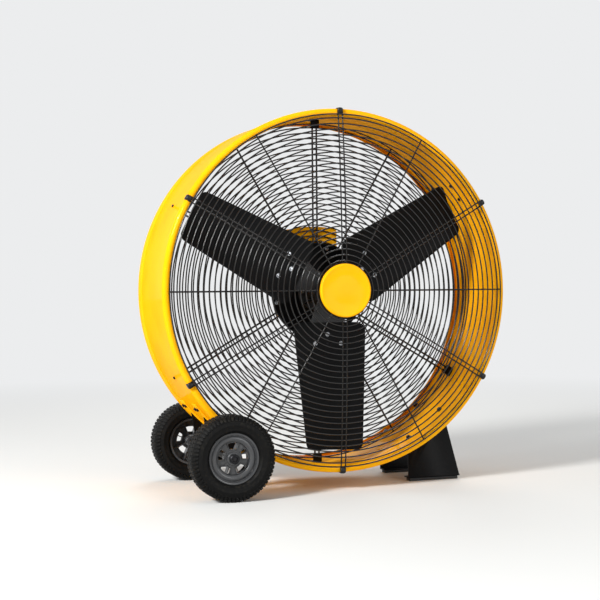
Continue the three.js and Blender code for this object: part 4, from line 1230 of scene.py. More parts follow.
@dataclass
class Rotor(Assembly):
    """The three blades on their hub, with the shaft and its collar."""

    root: float = 100 * MM
    tip: float = 504 * MM
    setback: float = 114 * MM
    sheet: float = 3 * MM
    camber: float = 13 * MM
    root_pitch: float = 10.0
    tip_pitch: float = 14.0
    root_down: float = 118 * MM
    tip_down: float = 105 * MM
    root_up: float = 114 * MM
    tip_up: float = 72 * MM
    tip_corner: float = 20 * MM
    root_corner: float = 30 * MM
    corner_steps: int = 9
    body_steps: int = 24
    blade_steps: int = 18
    angles: tuple[int, ...] = (30, 150, 270)
    arm_reach: float = 186 * MM
    arm_half: float = 54 * MM
    arm_corner: float = 8 * MM
    arm_sheet: float = 6 * MM
    arm_lines: int = 8
    boss_radius: float = 34 * MM
    # Width of the rounded edges and the least angle that is rounded.
    blade_edge: Point = (0.7 * MM, 50)
    arm_edge: Point = (1.2 * MM, 50)
    shaft_edge: float = 1.2 * MM
    collar_edge: float = 0.8 * MM
    bolt_places: tuple[Point, ...] = ((138 * MM, 0.0), (167 * MM, -40 * MM), (167 * MM, 42 * MM))
    rivet_places: tuple[Point, ...] = ((168 * MM, 0.0),)
    bolt_head: float = 5 * MM
    rivet_head: float = 2.6 * MM

    def along(self, r: float, at_root: float, at_tip: float) -> float:
        """A size at radius r that runs evenly from the root to the tip."""
        return at_root + (at_tip - at_root) * (r - self.root) / (self.tip - self.root)

    def surface(self, r: float, v: float, behind: float) -> Vector:
        """A point on the blade.

        Args:
            r: Distance from the axis along the blade.
            v: Distance across it, positive on the downwind side.
            behind: Shift towards the back.

        Returns:
            The point, for a blade that lies along +X.
        """
        down = self.along(r, self.root_down, self.tip_down)
        up = self.along(r, self.root_up, self.tip_up)
        across = (v - (down - up) / 2) / ((down + up) / 2)
        pitch = math.radians(self.along(r, self.root_pitch, self.tip_pitch))
        bulge = self.camber * (1 - across * across)
        plane = self.drum.front + self.setback
        return Vector((r, plane - v * math.sin(pitch) + bulge + behind, v * math.cos(pitch)))

    def section(self, r: float, lines: Sequence[float], front: float, sheet: float) -> list[Vector]:
        """A closed section across the blade at radius r, of a sheet whose front is shifted backwards."""
        face = [self.surface(r, v, front) for v in lines]
        return face + [self.surface(r, v, front + sheet) for v in reversed(lines)]

    def stations(self) -> list[Point]:
        """Places the stations along the blade, with both ends rounded.

        Returns:
            Radius and edge inset of each station.
        """
        turns = [math.pi / 2 * i / self.corner_steps for i in range(self.corner_steps + 1)]
        ease = [(1 - math.sin(t), 1 - math.cos(t)) for t in turns]
        start, end = self.root + self.root_corner, self.tip - self.tip_corner
        root = [(self.root + self.root_corner * r, self.root_corner * v) for r, v in reversed(ease)]
        tip = [(self.tip - self.tip_corner * r, self.tip_corner * v) for r, v in ease]
        body = [(start + (end - start) * i / self.body_steps, 0.0) for i in range(1, self.body_steps)]
        return [*root, *body, *tip]

    def blade(self) -> Shape:
        """Draws the sheet of a blade.

        Returns:
            The sheet of a blade that lies along +X.
        """
        sections = []
        for r, inset in self.stations():
            low = inset - self.along(r, self.root_up, self.tip_up)
            high = self.along(r, self.root_down, self.tip_down) - inset
            lines = [low + (high - low) * i / self.blade_steps for i in range(self.blade_steps + 1)]
            sections.append(self.section(r, lines, -self.sheet / 2, self.sheet))
        return lofted(sections)

    def arm(self) -> Shape:
        """Draws one arm of the hub, shaped to the back of its blade.

        Returns:
            The arm that lies along +X.
        """
        start = self.root + self.root_corner
        spans = [
            (self.boss_radius * 0.6, self.boss_radius * 0.7),
            (self.root * 0.7, self.arm_half * 0.8),
            (self.root, self.arm_half * 0.97),
            (start, self.arm_half),
            ((start + self.arm_reach) / 2, self.arm_half),
            (self.arm_reach - self.arm_corner, self.arm_half),
            (self.arm_reach, self.arm_half - self.arm_corner),
        ]
        shares = [2 * i / self.arm_lines - 1 for i in range(self.arm_lines + 1)]
        front = self.sheet / 2 + SEAT_GAP
        sections = [self.section(r, [half * s for s in shares], front, self.arm_sheet) for r, half in spans]
        return lofted(sections)

    def build(self) -> None:
        """Builds the blades, the hub, its bolts and the shaft."""
        blade, arm, arms = self.blade(), self.arm(), Shape()
        for i, angle in enumerate(self.angles, start=1):
            place = self.drum.at_angle(angle)
            node, sheet = f"blade_{i}", blade.moved(place)
            make(f"fan_{node}", sheet, BLACK_COAT, [node], Body.ROTOR, self.blade_edge)
            arms = arms + arm.moved(place)
        make("fan_hub_arms", arms, CAST_IRON, ["blade_hub"], Body.ROTOR, self.arm_edge)
        low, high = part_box("blade_hub")
        shaft_low, shaft_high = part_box("fan_shaft")
        bore = shaft_high.x + SEAT_GAP
        profile = [
            (bore, low.y),
            *near(self.boss_radius, low.y, (-3, 0), (0, 3)),
            *near(self.boss_radius, high.y, (0, -2), (-2, 0)),
            (bore, high.y),
        ]
        boss = turned(profile, BOSS_FACETS).moved(self.drum.axis)
        make("fan_hub_boss", boss, CAST_IRON, body=Body.ROTOR)
        bolts, rivets = self.seats(self.bolt_places), self.seats(self.rivet_places)
        self.shop.screws("blade_bolts", bolts, self.bolt_head, ZINC, Body.ROTOR)
        self.shop.screws("blade_rivets", rivets, self.rivet_head, BLACK_OXIDE, Body.ROTOR)
        shaft = tube(shaft_high.x, 0, shaft_low.y, shaft_high.y, self.shaft_edge)
        make("rotor_shaft", shaft.moved(self.drum.axis), GROUND_STEEL, ["fan_shaft"], Body.ROTOR)
        low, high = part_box("shaft_collar")
        collar = tube(high.x, bore, low.y, high.y, self.collar_edge).moved(self.drum.axis)
        make("rotor_collar", collar, GROUND_STEEL, ["shaft_collar"], Body.ROTOR)

    def seats(self, places: Sequence[Point]) -> list[Seat]:
        """Seats on the front of every blade.

        Args:
            places: Distance from the axis and distance across the blade of each seat.

        Returns:
            Each seat with the way that a head points there.
        """
        found = []
        step = 1 * MM
        for angle in self.angles:
            place = self.drum.at_angle(angle)
            for r, v in places:
                seat, edge, out = (
                    self.surface(r + dr, v + dv, -self.sheet / 2) for dr, dv in ((0, 0), (0, step), (step, 0))
                )
                normal = (edge - seat).cross(out - seat).normalized()
                facing = normal if normal.y < 0 else -normal
                found.append((place @ seat, place.to_3x3() @ facing))
        return found


# ---------------------------------------------------------------- drive


@dataclass
class Pulley:
    """A V-belt pulley: a grooved rim on a web and a boss."""

    radius: float
    bore: float
    front: float
    boss: float = 20 * MM
    width: float = 16 * MM
    belt_top: float = 12 * MM
    belt_bottom: float = 6 * MM
    groove: float = 9 * MM
    web: float = 6 * MM

    def shape(self) -> Shape:
        """Draws the pulley, with a recess in its back where there is room for one.

        Returns:
            The pulley round the Y axis.
        """
        middle = self.front + self.width / 2
        back = self.front + self.width
        top = self.belt_top / 2 + 2 * SEAT_GAP
        bottom = self.belt_bottom / 2 + SEAT_GAP
        rim = [
            *near(self.radius, self.front, (-0.8, 0), (0, 0.8)),
            (self.radius, middle - top),
            (self.radius - self.groove, middle - bottom),
            (self.radius - self.groove, middle + bottom),
            (self.radius, middle + top),
            *near(self.radius, back, (0, -0.8), (-0.8, 0)),
        ]
        inside = self.radius - self.groove - self.web
        face = self.front + self.web
        recess = []
        if inside > self.boss + self.web:
            floor = [*near(inside, face, (-1, 0)), *near(self.boss, face, (1, 0))]
            recess = [(inside, back), *floor, (self.boss, back)]
        return turned([(self.bore, self.front), *rim, *recess, (self.bore, back)])


@dataclass
class Drive(Assembly):
    """The mounting plate, the bearings, the belt drive and the motor."""

    plate_sheet: float = 4 * MM
    plate_bore: float = 30 * MM
    plate_bend: float = 5 * MM
    inner_bend_steps: int = 4
    outer_bend_steps: int = 6
    plate_screw_inset: float = 14 * MM
    plate_screw_angles: Sequence[float] = range(15, 360, 60)
    plate_screw_head: float = 5 * MM
    housing_screw_angles: Sequence[float] = range(0, 360, 90)
    housing_screw_head: float = 6 * MM
    rib_count: int = 4
    rib_angle: float = 45.0
    rib_edge: float = 1 * MM
    bearing_bore: float = 26 * MM
    shoulder: float = 22 * MM
    bearing_width: float = 15 * MM
    inner_race: float = 5 * MM
    outer_race: float = 4 * MM
    shield_inset: float = 1 * MM
    shield_edge: float = 0.2 * MM
    flange: float = 9 * MM
    flange_radius: float = 66 * MM
    housing_radius: float = 40 * MM
    rib_half: float = 4 * MM
    motor_step: float = 5 * MM
    motor_bell: float = 18 * MM
    belt_edge: float = 0.6 * MM
    spindle_edge: float = 0.8 * MM
    bracket_edge: float = 0.8 * MM

    def build(self) -> None:
        """Builds the plate, the bearings, the pulleys and the motor."""
        self.build_plate()
        self.build_housing()
        self.build_bearings()
        self.build_belt_drive()

    def build_plate(self) -> None:
        """Builds the round plate with its flange, and its screws."""
        low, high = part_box("mounting_plate")
        radius = high.x
        face = high.y - self.plate_sheet
        bend = self.plate_bend
        centre = (radius - bend, high.y - bend)
        profile = [
            (self.plate_bore, high.y),
            (self.plate_bore, face),
            *arc(centre, bend - self.plate_sheet, 90, 0, self.inner_bend_steps),
            (radius - self.plate_sheet, low.y),
            (radius, low.y),
            *arc(centre, bend, 0, 90, self.outer_bend_steps),
        ]
        disc = turned(profile, COVER_FACETS).moved(self.drum.axis)
        make("drive_plate", disc, BLACK_COAT, ["mounting_plate"])
        seats = self.drum.facing_front(radius - self.plate_screw_inset, face, self.plate_screw_angles)
        self.shop.screws("plate_screws", seats, self.plate_screw_head)

    def build_housing(self) -> None:
        """Builds the flanged bearing housing, its ribs and its screws."""
        low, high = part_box("bearing_housing")
        flange = high.y - self.flange
        seat = self.bearing_bore + SEAT_GAP
        depth = self.bearing_width + SEAT_GAP
        profile = [
            (seat, low.y),
            *near(self.housing_radius, low.y, (-2, 0), (0, 2)),
            *near(self.housing_radius, flange, (0, -4), (4, 0)),
            *near(self.flange_radius, flange, (-2, 0), (0, 2)),
            (self.flange_radius, high.y),
            (seat, high.y),
            (seat, high.y - depth),
            (self.shoulder, high.y - depth),
            (self.shoulder, low.y + depth),
            (seat, low.y + depth),
        ]
        body = turned(profile, BOSS_FACETS).moved(self.drum.axis)
        make("shaft_bearing_housing", body, CAST_IRON, ["bearing_housing"])
        gusset = [
            *near(self.housing_radius, low.y, (-3, 12)),
            *near(self.flange_radius, flange, (-5, 1)),
            *near(self.housing_radius, flange, (-3, 1)),
        ]
        rib = lofted([[Vector((r, y, z)) for r, y in gusset] for z in (-self.rib_half, self.rib_half)])
        centre = self.drum.axis.translation
        ribs = self.shop.ring_of("housing_ribs", rib, CAST_IRON, self.rib_count, centre, self.rib_angle)
        dress(softened(ribs, self.rib_edge), CAST_IRON)
        ring = (self.housing_radius + self.flange_radius) / 2
        seats = self.drum.facing_front(ring, flange, self.housing_screw_angles)
        self.shop.screws("housing_screws", seats, self.housing_screw_head)

    def build_bearings(self) -> None:
        """Builds both ball bearings: two races with a shield between them."""
        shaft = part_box("fan_shaft")[1].x
        for node in ("front_bearing", "rear_bearing"):
            low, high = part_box(node)
            inner = tube(shaft + self.inner_race, shaft + SEAT_GAP, low.y, high.y)
            outer = tube(self.bearing_bore, self.bearing_bore - self.outer_race, low.y, high.y)
            front, back = low.y + self.shield_inset, high.y - self.shield_inset
            edges = (self.bearing_bore - self.outer_race, shaft + self.inner_race)
            shield = tube(*edges, front, back, self.shield_edge)
            race = (inner + outer + shield).moved(self.drum.axis)
            make(f"{node}_race", race, GROUND_STEEL, [node])

    def build_belt_drive(self) -> None:
        """Builds both pulleys, the belt, the motor, its shaft and the folded bracket that holds it."""
        shaft, stub_low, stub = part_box("fan_shaft")[1].x, *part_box("motor_shaft")
        height = (stub_low.z + stub.z) / 2
        axis = Matrix.Translation((0, 0, height))
        low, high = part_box("fan_pulley")
        large = Pulley(high.x, shaft + SEAT_GAP, low.y).shape().moved(self.drum.axis)
        make("large_pulley", large, CAST_IRON, ["fan_pulley"], Body.ROTOR)
        low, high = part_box("motor_pulley")
        bore = stub.x + SEAT_GAP
        small = Pulley(high.z - axis.translation.z, bore, low.y).shape().moved(axis)
        make("small_pulley", small, CAST_IRON, ["motor_pulley"], Body.MOTOR_ROTOR)
        refine("v_belt", "drive_belt", self.belt_edge, SOFT_RUBBER)
        low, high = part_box("motor_housing")
        radius = (high.z - low.z) / 2
        bell = radius - self.motor_step
        front, back = low.y + self.motor_bell, high.y - self.motor_bell
        profile = [
            (bore, low.y),
            *near(bell, low.y, (-12, 0), (0, 6)),
            (bell, front),
            *near(radius, front, (-1, 0), (0, 1)),
            *near(radius, back, (0, -1), (-1, 0)),
            (bell, back),
            *near(bell, high.y, (0, -8), (-14, 0)),
            (bore, high.y),
        ]
        make("motor_shell", turned(profile).moved(axis), MOTOR_PAINT, ["motor_housing"])
        bar = tube(stub.x, 0, stub_low.y, stub.y, self.spindle_edge).moved(axis)
        make("motor_spindle", bar, GROUND_STEEL, ["motor_shaft"], Body.MOTOR_ROTOR)
        refine("motor_bracket", "motor_mount", self.bracket_edge, BLACK_COAT)


@dataclass
class RearCover(Assembly):
    """The folded cover over the motor, with its louvres, switch, knob and cord gland."""

    # Name, CAD node, width of the rounded edges, finish and body.
    pieces: tuple[tuple[str, str, float, Finish, Body], ...] = (
        ("motor_cover", "rear_cover", 1.2 * MM, YELLOW_COAT, Body.FRAME),
        ("rotary_switch", "speed_switch", 0.6 * MM, BLACK_ABS, Body.FRAME),
        ("switch_knob", "speed_knob", 0.8 * MM, BLACK_ABS, Body.SPEED_CONTROL),
        ("cord_gland", "cable_gland", 0.5 * MM, BLACK_ABS, Body.FRAME),
    )
    screw_inset: float = 9 * MM
    screw_head: float = 3.6 * MM
    top_bend: float = 8 * MM

    def build(self) -> None:
        """Builds the cover and what is on it."""
        for piece in self.pieces:
            refine(*piece)
        low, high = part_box("rear_cover")
        rows = (low.z + self.screw_inset, high.z - self.screw_inset - self.top_bend)
        columns = (low.x + self.screw_inset, high.x - self.screw_inset)
        seats = [(Vector((x, high.y, z)), Vector((0, 1, 0))) for x in columns for z in rows]
        self.shop.screws("cover_screws", seats, self.screw_head)


# ---------------------------------------------------------------- wheels


@dataclass
class Wheel:
    """One wheel: a tyre with chunky shoulders on a moulded, ribbed hub."""

    end: End
    shop: Workshop
    lugs: int = 64
    tread_depth: float = 2.2 * MM
    tread_half: float = 11 * MM
    block_share: float = 0.62
    lug_tuck: float = 5 * MM
    # Corners in millimetres from the rim, the crown and the tread's edge, and the lugs' share of the pitch.
    bead: tuple[Point, ...] = ((3, -7), (8, -3), (20, -1.8), (22, -0.8), (24, -0.8), (26, -1.8))
    shoulder: tuple[Point, ...] = ((-14, -2.6), (-6, -7), (-1.2, -15), (0, -24))
    lug_path: tuple[Point, ...] = ((-16, -1.4), (-8, -3.6), (-3, -8.5), (-0.1, -16), (-0.1, -30))
    lug_shares: tuple[float, ...] = (0.66, 0.72, 0.7, 0.66, 0.55)
    windows: int = 5
    window_inner: float = 28 * MM
    window_outer: float = 46 * MM
    window_span: float = 42.0
    window_corner: float = 3 * MM
    window_outer_steps: int = 8
    window_inner_steps: int = 6
    window_frame: float = 3 * MM
    frame_rise: float = 3.5 * MM
    dish: float = 49 * MM
    dish_depth: float = 8 * MM
    band_crown: float = 4 * MM
    band_steps: int = 10
    rim_wall: float = 7 * MM
    web_inset: float = 16 * MM
    web_sheet: float = 6 * MM
    ribs: int = 8
    rib_sheet: float = 3 * MM
    rib_depth: float = 22 * MM
    rib_ring: float = 47 * MM
    boss: float = 20 * MM
    bush_wall: float = 2.5 * MM
    bush_edge: float = 0.4 * MM
    moulded_edge: float = 0.5 * MM

    def __post_init__(self) -> None:
        """Reads the wheel's place and sizes from the frame."""
        low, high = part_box(f"{self.end.word}_tyre")
        self.radius, self.half = (high.z - low.z) / 2, (high.y - low.y) / 2
        self.centre = (low + high) / 2
        low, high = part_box(f"{self.end.word}_wheel_hub")
        self.rim, self.rim_half = (high.z - low.z) / 2, (high.y - low.y) / 2
        low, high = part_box(f"{self.end.word}_wheel_bush")
        self.bush_radius, self.bush_half = (high.z - low.z) / 2, (high.y - low.y) / 2
        # From the wheel's own frame, whose -Y is its outboard side, to the fan's.
        half_turn = Matrix.Identity(4) if self.end is End.FRONT else Matrix.Rotation(math.pi, 4, "Z")
        self.place = Matrix.Translation(self.centre) @ half_turn

    def piece(self, name: str, shape: Shape, finish: Finish, nodes: Iterable[str] = ()) -> None:
        """Makes a piece of this wheel out of a shape in the wheel's own frame."""
        make(f"{self.end.word}_{name}", shape.moved(self.place), finish, nodes, self.end.body)

    def ring(self, name: str, shape: Shape, finish: Finish, count: int, first: float = 0.0) -> None:
        """Makes a piece of this wheel out of copies of a shape round its axle."""
        ring = self.shop.ring_of(f"{self.end.word}_{name}", shape, finish, count, self.centre, first)
        dress(softened(ring, self.moulded_edge, steps=1), finish, body=self.end.body)

    def build(self) -> None:
        """Builds the tyre, the hub and the bush."""
        word = self.end.word
        self.piece("tyre_carcass", turned(self.carcass(), TYRE_FACETS), TYRE_RUBBER, [f"{word}_tyre"])
        self.build_tread()
        self.build_hub()
        bore = self.bush_radius - self.bush_wall + SEAT_GAP
        sleeve = tube(self.bush_radius, bore, -self.bush_half, self.bush_half, self.bush_edge)
        self.piece("bush", sleeve, GROUND_STEEL, [f"{word}_wheel_bush"])

    def carcass(self) -> list[Point]:
        """Draws the tyre's profile without its lugs.

        Returns:
            The profile as (radius, y).
        """
        crown = self.radius - self.tread_depth
        foot = (self.rim + SEAT_GAP, self.rim_half - 2 * MM)
        side = [foot, *near(self.rim, self.half, *self.bead), *near(crown, self.half, *self.shoulder)]
        return [*side, *((r, -y) for r, y in reversed(side))]

    def shoulder_lug(self, side: int, shift: float) -> Shape:
        """One block of the tread's shoulder.

        Args:
            side: The sign of Y.
            shift: Angle in degrees from the first lug of the other side.

        Returns:
            The block.
        """
        path = near(self.radius, self.half, *self.lug_path)
        pitch = FULL_TURN * self.radius / self.lugs
        sections = []
        for (r, y), share in zip(path, self.lug_shares):
            half = pitch * share / 2
            deep, tuck = r - 2 * self.tread_depth, y - self.lug_tuck
            corners = [(r, y, -half), (r, y, half), (deep, tuck, half), (deep, tuck, -half)]
            sections.append([Vector((x, side * depth, z)) for x, depth, z in corners])
        return lofted(sections).moved(Matrix.Rotation(math.radians(shift), 4, "Y"))

    def build_tread(self) -> None:
        """Builds the tread's lugs: a row on each shoulder and blocks down the middle."""
        step = 360 / self.lugs
        block = math.pi * self.radius / self.lugs * self.block_share
        low = (self.radius - 2 * self.tread_depth, -self.tread_half, -block)
        high = (self.radius - 0.2 * MM, self.tread_half, block)
        middle = box(low, high).moved(Matrix.Rotation(math.radians(step / 4), 4, "Y"))
        pattern = self.shoulder_lug(1, 0) + self.shoulder_lug(-1, step / 2) + middle
        self.ring("tyre_tread", pattern, TYRE_RUBBER, self.lugs)

    def window(self, middle: float, margin: float = 0.0) -> list[Point]:
        """The outline of one window with chamfered corners.

        Args:
            middle: Its middle angle in degrees.
            margin: How much larger than the window the outline is all round.

        Returns:
            The outline.
        """
        outer, inner = self.window_outer + margin, self.window_inner - margin
        half = self.window_span / 2 + math.degrees(margin / outer)
        corner = self.window_corner
        cut, wide = math.degrees(corner / outer), math.degrees(corner / inner)
        above, below = outer - corner, inner + corner
        return [
            *arc((0, 0), outer, middle - half + cut, middle + half - cut, self.window_outer_steps),
            *(polar(r, middle + half) for r in (above, below)),
            *arc((0, 0), inner, middle + half - wide, middle - half + wide, self.window_inner_steps),
            *(polar(r, middle - half) for r in (below, above)),
        ]

    def rim_profile(self, web: float, inside: float) -> list[Point]:
        """The profile of the rim and of the sloping, rounded band round the dish.

        Args:
            web: The web's outboard face.
            inside: Inner radius of the rim's wall.

        Returns:
            The profile as (radius, y).
        """
        half = self.rim_half
        face = web - self.dish_depth
        back = web + self.web_sheet
        start, end = self.dish + 0.5 * MM, inside - 2.2 * MM
        shares = [i / self.band_steps for i in range(self.band_steps + 1)]
        crowns = [self.band_crown * math.sin(math.pi * t) for t in shares]
        band = [(start + (end - start) * t, face - 1 * MM - crown) for t, crown in zip(shares, crowns)]
        return [
            (self.dish, back),
            *near(self.dish, face, (0, 1.5)),
            *band,
            *near(inside, face, (-0.6, -1), (0, -4)),
            *near(inside, -half, (1.5, 0.7), (3, 0)),
            *near(self.rim, -half, (-1, 0), (0, 1)),
            *near(self.rim, half, (0, -1), (-1, 0)),
            *near(inside, half, (1, 0), (0, -1)),
            (inside, back),
        ]

    def boss_profile(self, web: float, bore: float) -> list[Point]:
        """The profile of the boss and of the low ring round its foot.

        Args:
            web: The web's outboard face.
            bore: Radius of the bore.

        Returns:
            The profile as (radius, y).
        """
        half = self.rim_half
        return [
            *near(bore, -half, (0, 4)),
            *near(self.boss, -half, (-4, 4), (-1, 6), (0, 10)),
            *near(self.boss, web, (0.5, -1.5), (5, -1.5), (6, 1), (0, 1)),
            *near(self.boss, half, (-1, -2)),
            *near(bore, half, (0, -2)),
        ]

    def build_hub(self) -> None:
        """Builds the rim, the dished web with its framed windows, the boss and the ribs."""
        inside = self.rim - self.rim_wall
        web = self.web_inset - self.rim_half
        back = web + self.web_sheet
        bore = self.bush_radius + SEAT_GAP
        middles = [90 + 360 * i / self.windows for i in range(self.windows)]
        disc = circle((0, 0), self.dish + 1 * MM, TYRE_FACETS)
        hole = circle((0, 0), bore + SEAT_GAP, HOLE_FACETS)
        hub = plate([disc, hole, *(self.window(a) for a in middles)], web, back, 1 * MM)
        for angle in middles:
            frame = [self.window(angle, self.window_frame), self.window(angle)]
            hub = hub + plate(frame, web - self.frame_rise, web + 1 * MM, 1 * MM)
        hub = hub + turned(self.rim_profile(web, inside)) + turned(self.boss_profile(web, bore))
        start, end = web + 2 * MM, back + self.rib_depth
        hub = hub + tube(self.rib_ring + self.rib_sheet, self.rib_ring, start, end - 5 * MM)
        self.piece("hub", hub, WHEEL_NYLON, [f"{self.end.word}_wheel_hub"])
        low, high = sorted(-self.end.sign * y for y in (start, end - 1 * MM))
        half = self.rib_sheet / 2
        rib = box((self.boss - 1 * MM, low, -half), (inside + 1 * MM, high, half))
        self.ring("hub_ribs", rib, WHEEL_NYLON, self.ribs, 180 / self.ribs)


@dataclass
class Undercarriage(Assembly):
    """The axle with its collars and spacers, the brackets, the foot and its pads."""

    saddle_sheet: float = 4 * MM
    saddle_angle: float = 30.0
    saddle_margin: float = 5.0
    saddle_steps: int = 24
    saddle_edge: Point = (0.8 * MM, 30)
    plate_sheet: float = 5 * MM
    plate_edge: float = 0.8 * MM
    plate_top_steps: int = 16
    plate_foot_steps: int = 24
    axle_edge: float = 1.2 * MM
    pad_edge: float = 1.5 * MM
    foot_edge: float = 1 * MM
    # The sleeves on the axle: the word in their names, their finish and the width of their chamfers.
    sleeves: tuple[tuple[str, Finish, float], ...] = (
        ("collar", BLACK_OXIDE, 2 * MM),
        ("spacer", BLACK_COAT, 0.4 * MM),
    )
    bracket_screw_angles: tuple[float, ...] = (219.5, 243.0)
    bracket_screw_offset: float = 14 * MM
    foot_screw_angles: tuple[float, ...] = (-45.0, -59.5)
    foot_screw_places: tuple[float, ...] = (-37 * MM, 152 * MM)
    nut_head: float = 5 * MM
    screw_head: float = 7 * MM

    def build(self) -> None:
        """Builds everything between the drum and the floor but the wheels."""
        low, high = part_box("axle")
        line = Matrix.Translation(((low.x + high.x) / 2, 0, (low.z + high.z) / 2))
        radius = (high.z - low.z) / 2
        bar = tube(radius, 0, low.y, high.y, self.axle_edge).moved(line)
        make("axle_bar", bar, BLACK_OXIDE, ["axle"])
        for end in End:
            for word, finish, edge in self.sleeves:
                node = f"{end.word}_axle_{word}"
                low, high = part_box(node)
                sleeve = tube((high.z - low.z) / 2, radius + SEAT_GAP, low.y, high.y, edge)
                make(f"{end.word}_wheel_{word}", sleeve.moved(line), finish, [node])
            self.build_bracket(end, line.translation, radius)
            refine(f"{end.word}_pad", f"{end.word}_foot_pad", self.pad_edge, SOFT_RUBBER)
        refine("foot_stand", "foot_frame", self.foot_edge, BLACK_COAT)
        self.build_screws()

    def build_bracket(self, end: End, centre: Vector, axle: float) -> None:
        """Builds one bracket: a strap round the wall, coated like it, and a black plate down to the axle.

        Args:
            end: The end of the axle.
            centre: A point on the axle's centreline.
            axle: The axle's radius.
        """
        node = f"{end.word}_axle_bracket"
        low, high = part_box(node)
        x, z = centre.x, centre.z - self.drum.height
        angle = math.degrees(math.atan2(z, x))
        inner = self.drum.wall_outer + SEAT_GAP
        outer = inner + self.saddle_sheet
        profile = [(inner, low.y), (outer, low.y), (outer, high.y), (inner, high.y)]
        sections = []
        for i in range(self.saddle_steps + 1):
            place = self.drum.at_angle(angle + self.saddle_angle * (i / self.saddle_steps - 0.5))
            sections.append([place @ Vector((r, y, 0)) for r, y in profile])
        make(f"{end.word}_axle_strap", lofted(sections), YELLOW_COAT, [node], soft=self.saddle_edge)
        reach = self.saddle_angle / 2 - self.saddle_margin
        outline = [
            *arc((0, 0), outer - 1 * MM, angle + reach, angle - reach, self.plate_top_steps),
            *arc((x, z), centre.z - low.z, angle - 90, angle + 90, self.plate_foot_steps),
        ]
        hole = circle((x, z), axle + SEAT_GAP, HOLE_FACETS)
        middle = (low.y + high.y) / 2
        half = self.plate_sheet / 2
        arm = plate([outline, hole], middle - half, middle + half, self.plate_edge)
        make(f"{end.word}_axle_plate", arm.moved(self.drum.axis), BLACK_COAT)

    def build_screws(self) -> None:
        """Puts the screws through the drum's wall at the axle brackets and the foot."""
        outside, inside = [], []
        for end in End:
            low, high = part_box(f"{end.word}_axle_bracket")
            middle = (low.y + high.y) / 2
            for degrees in self.bracket_screw_angles:
                inside.append(self.drum.on_wall(degrees, middle, outside=False))
                for shift in (-self.bracket_screw_offset, self.bracket_screw_offset):
                    seat, out = self.drum.on_wall(degrees, middle + shift)
                    outside.append((seat + out * (SEAT_GAP + self.saddle_sheet), out))
        for degrees in self.foot_screw_angles:
            inside += [self.drum.on_wall(degrees, y, outside=False) for y in self.foot_screw_places]
        self.shop.screws("bracket_nuts", outside, self.nut_head, BLACK_OXIDE)
        self.shop.screws("inside_screws", inside, self.screw_head, BLACK_OXIDE)


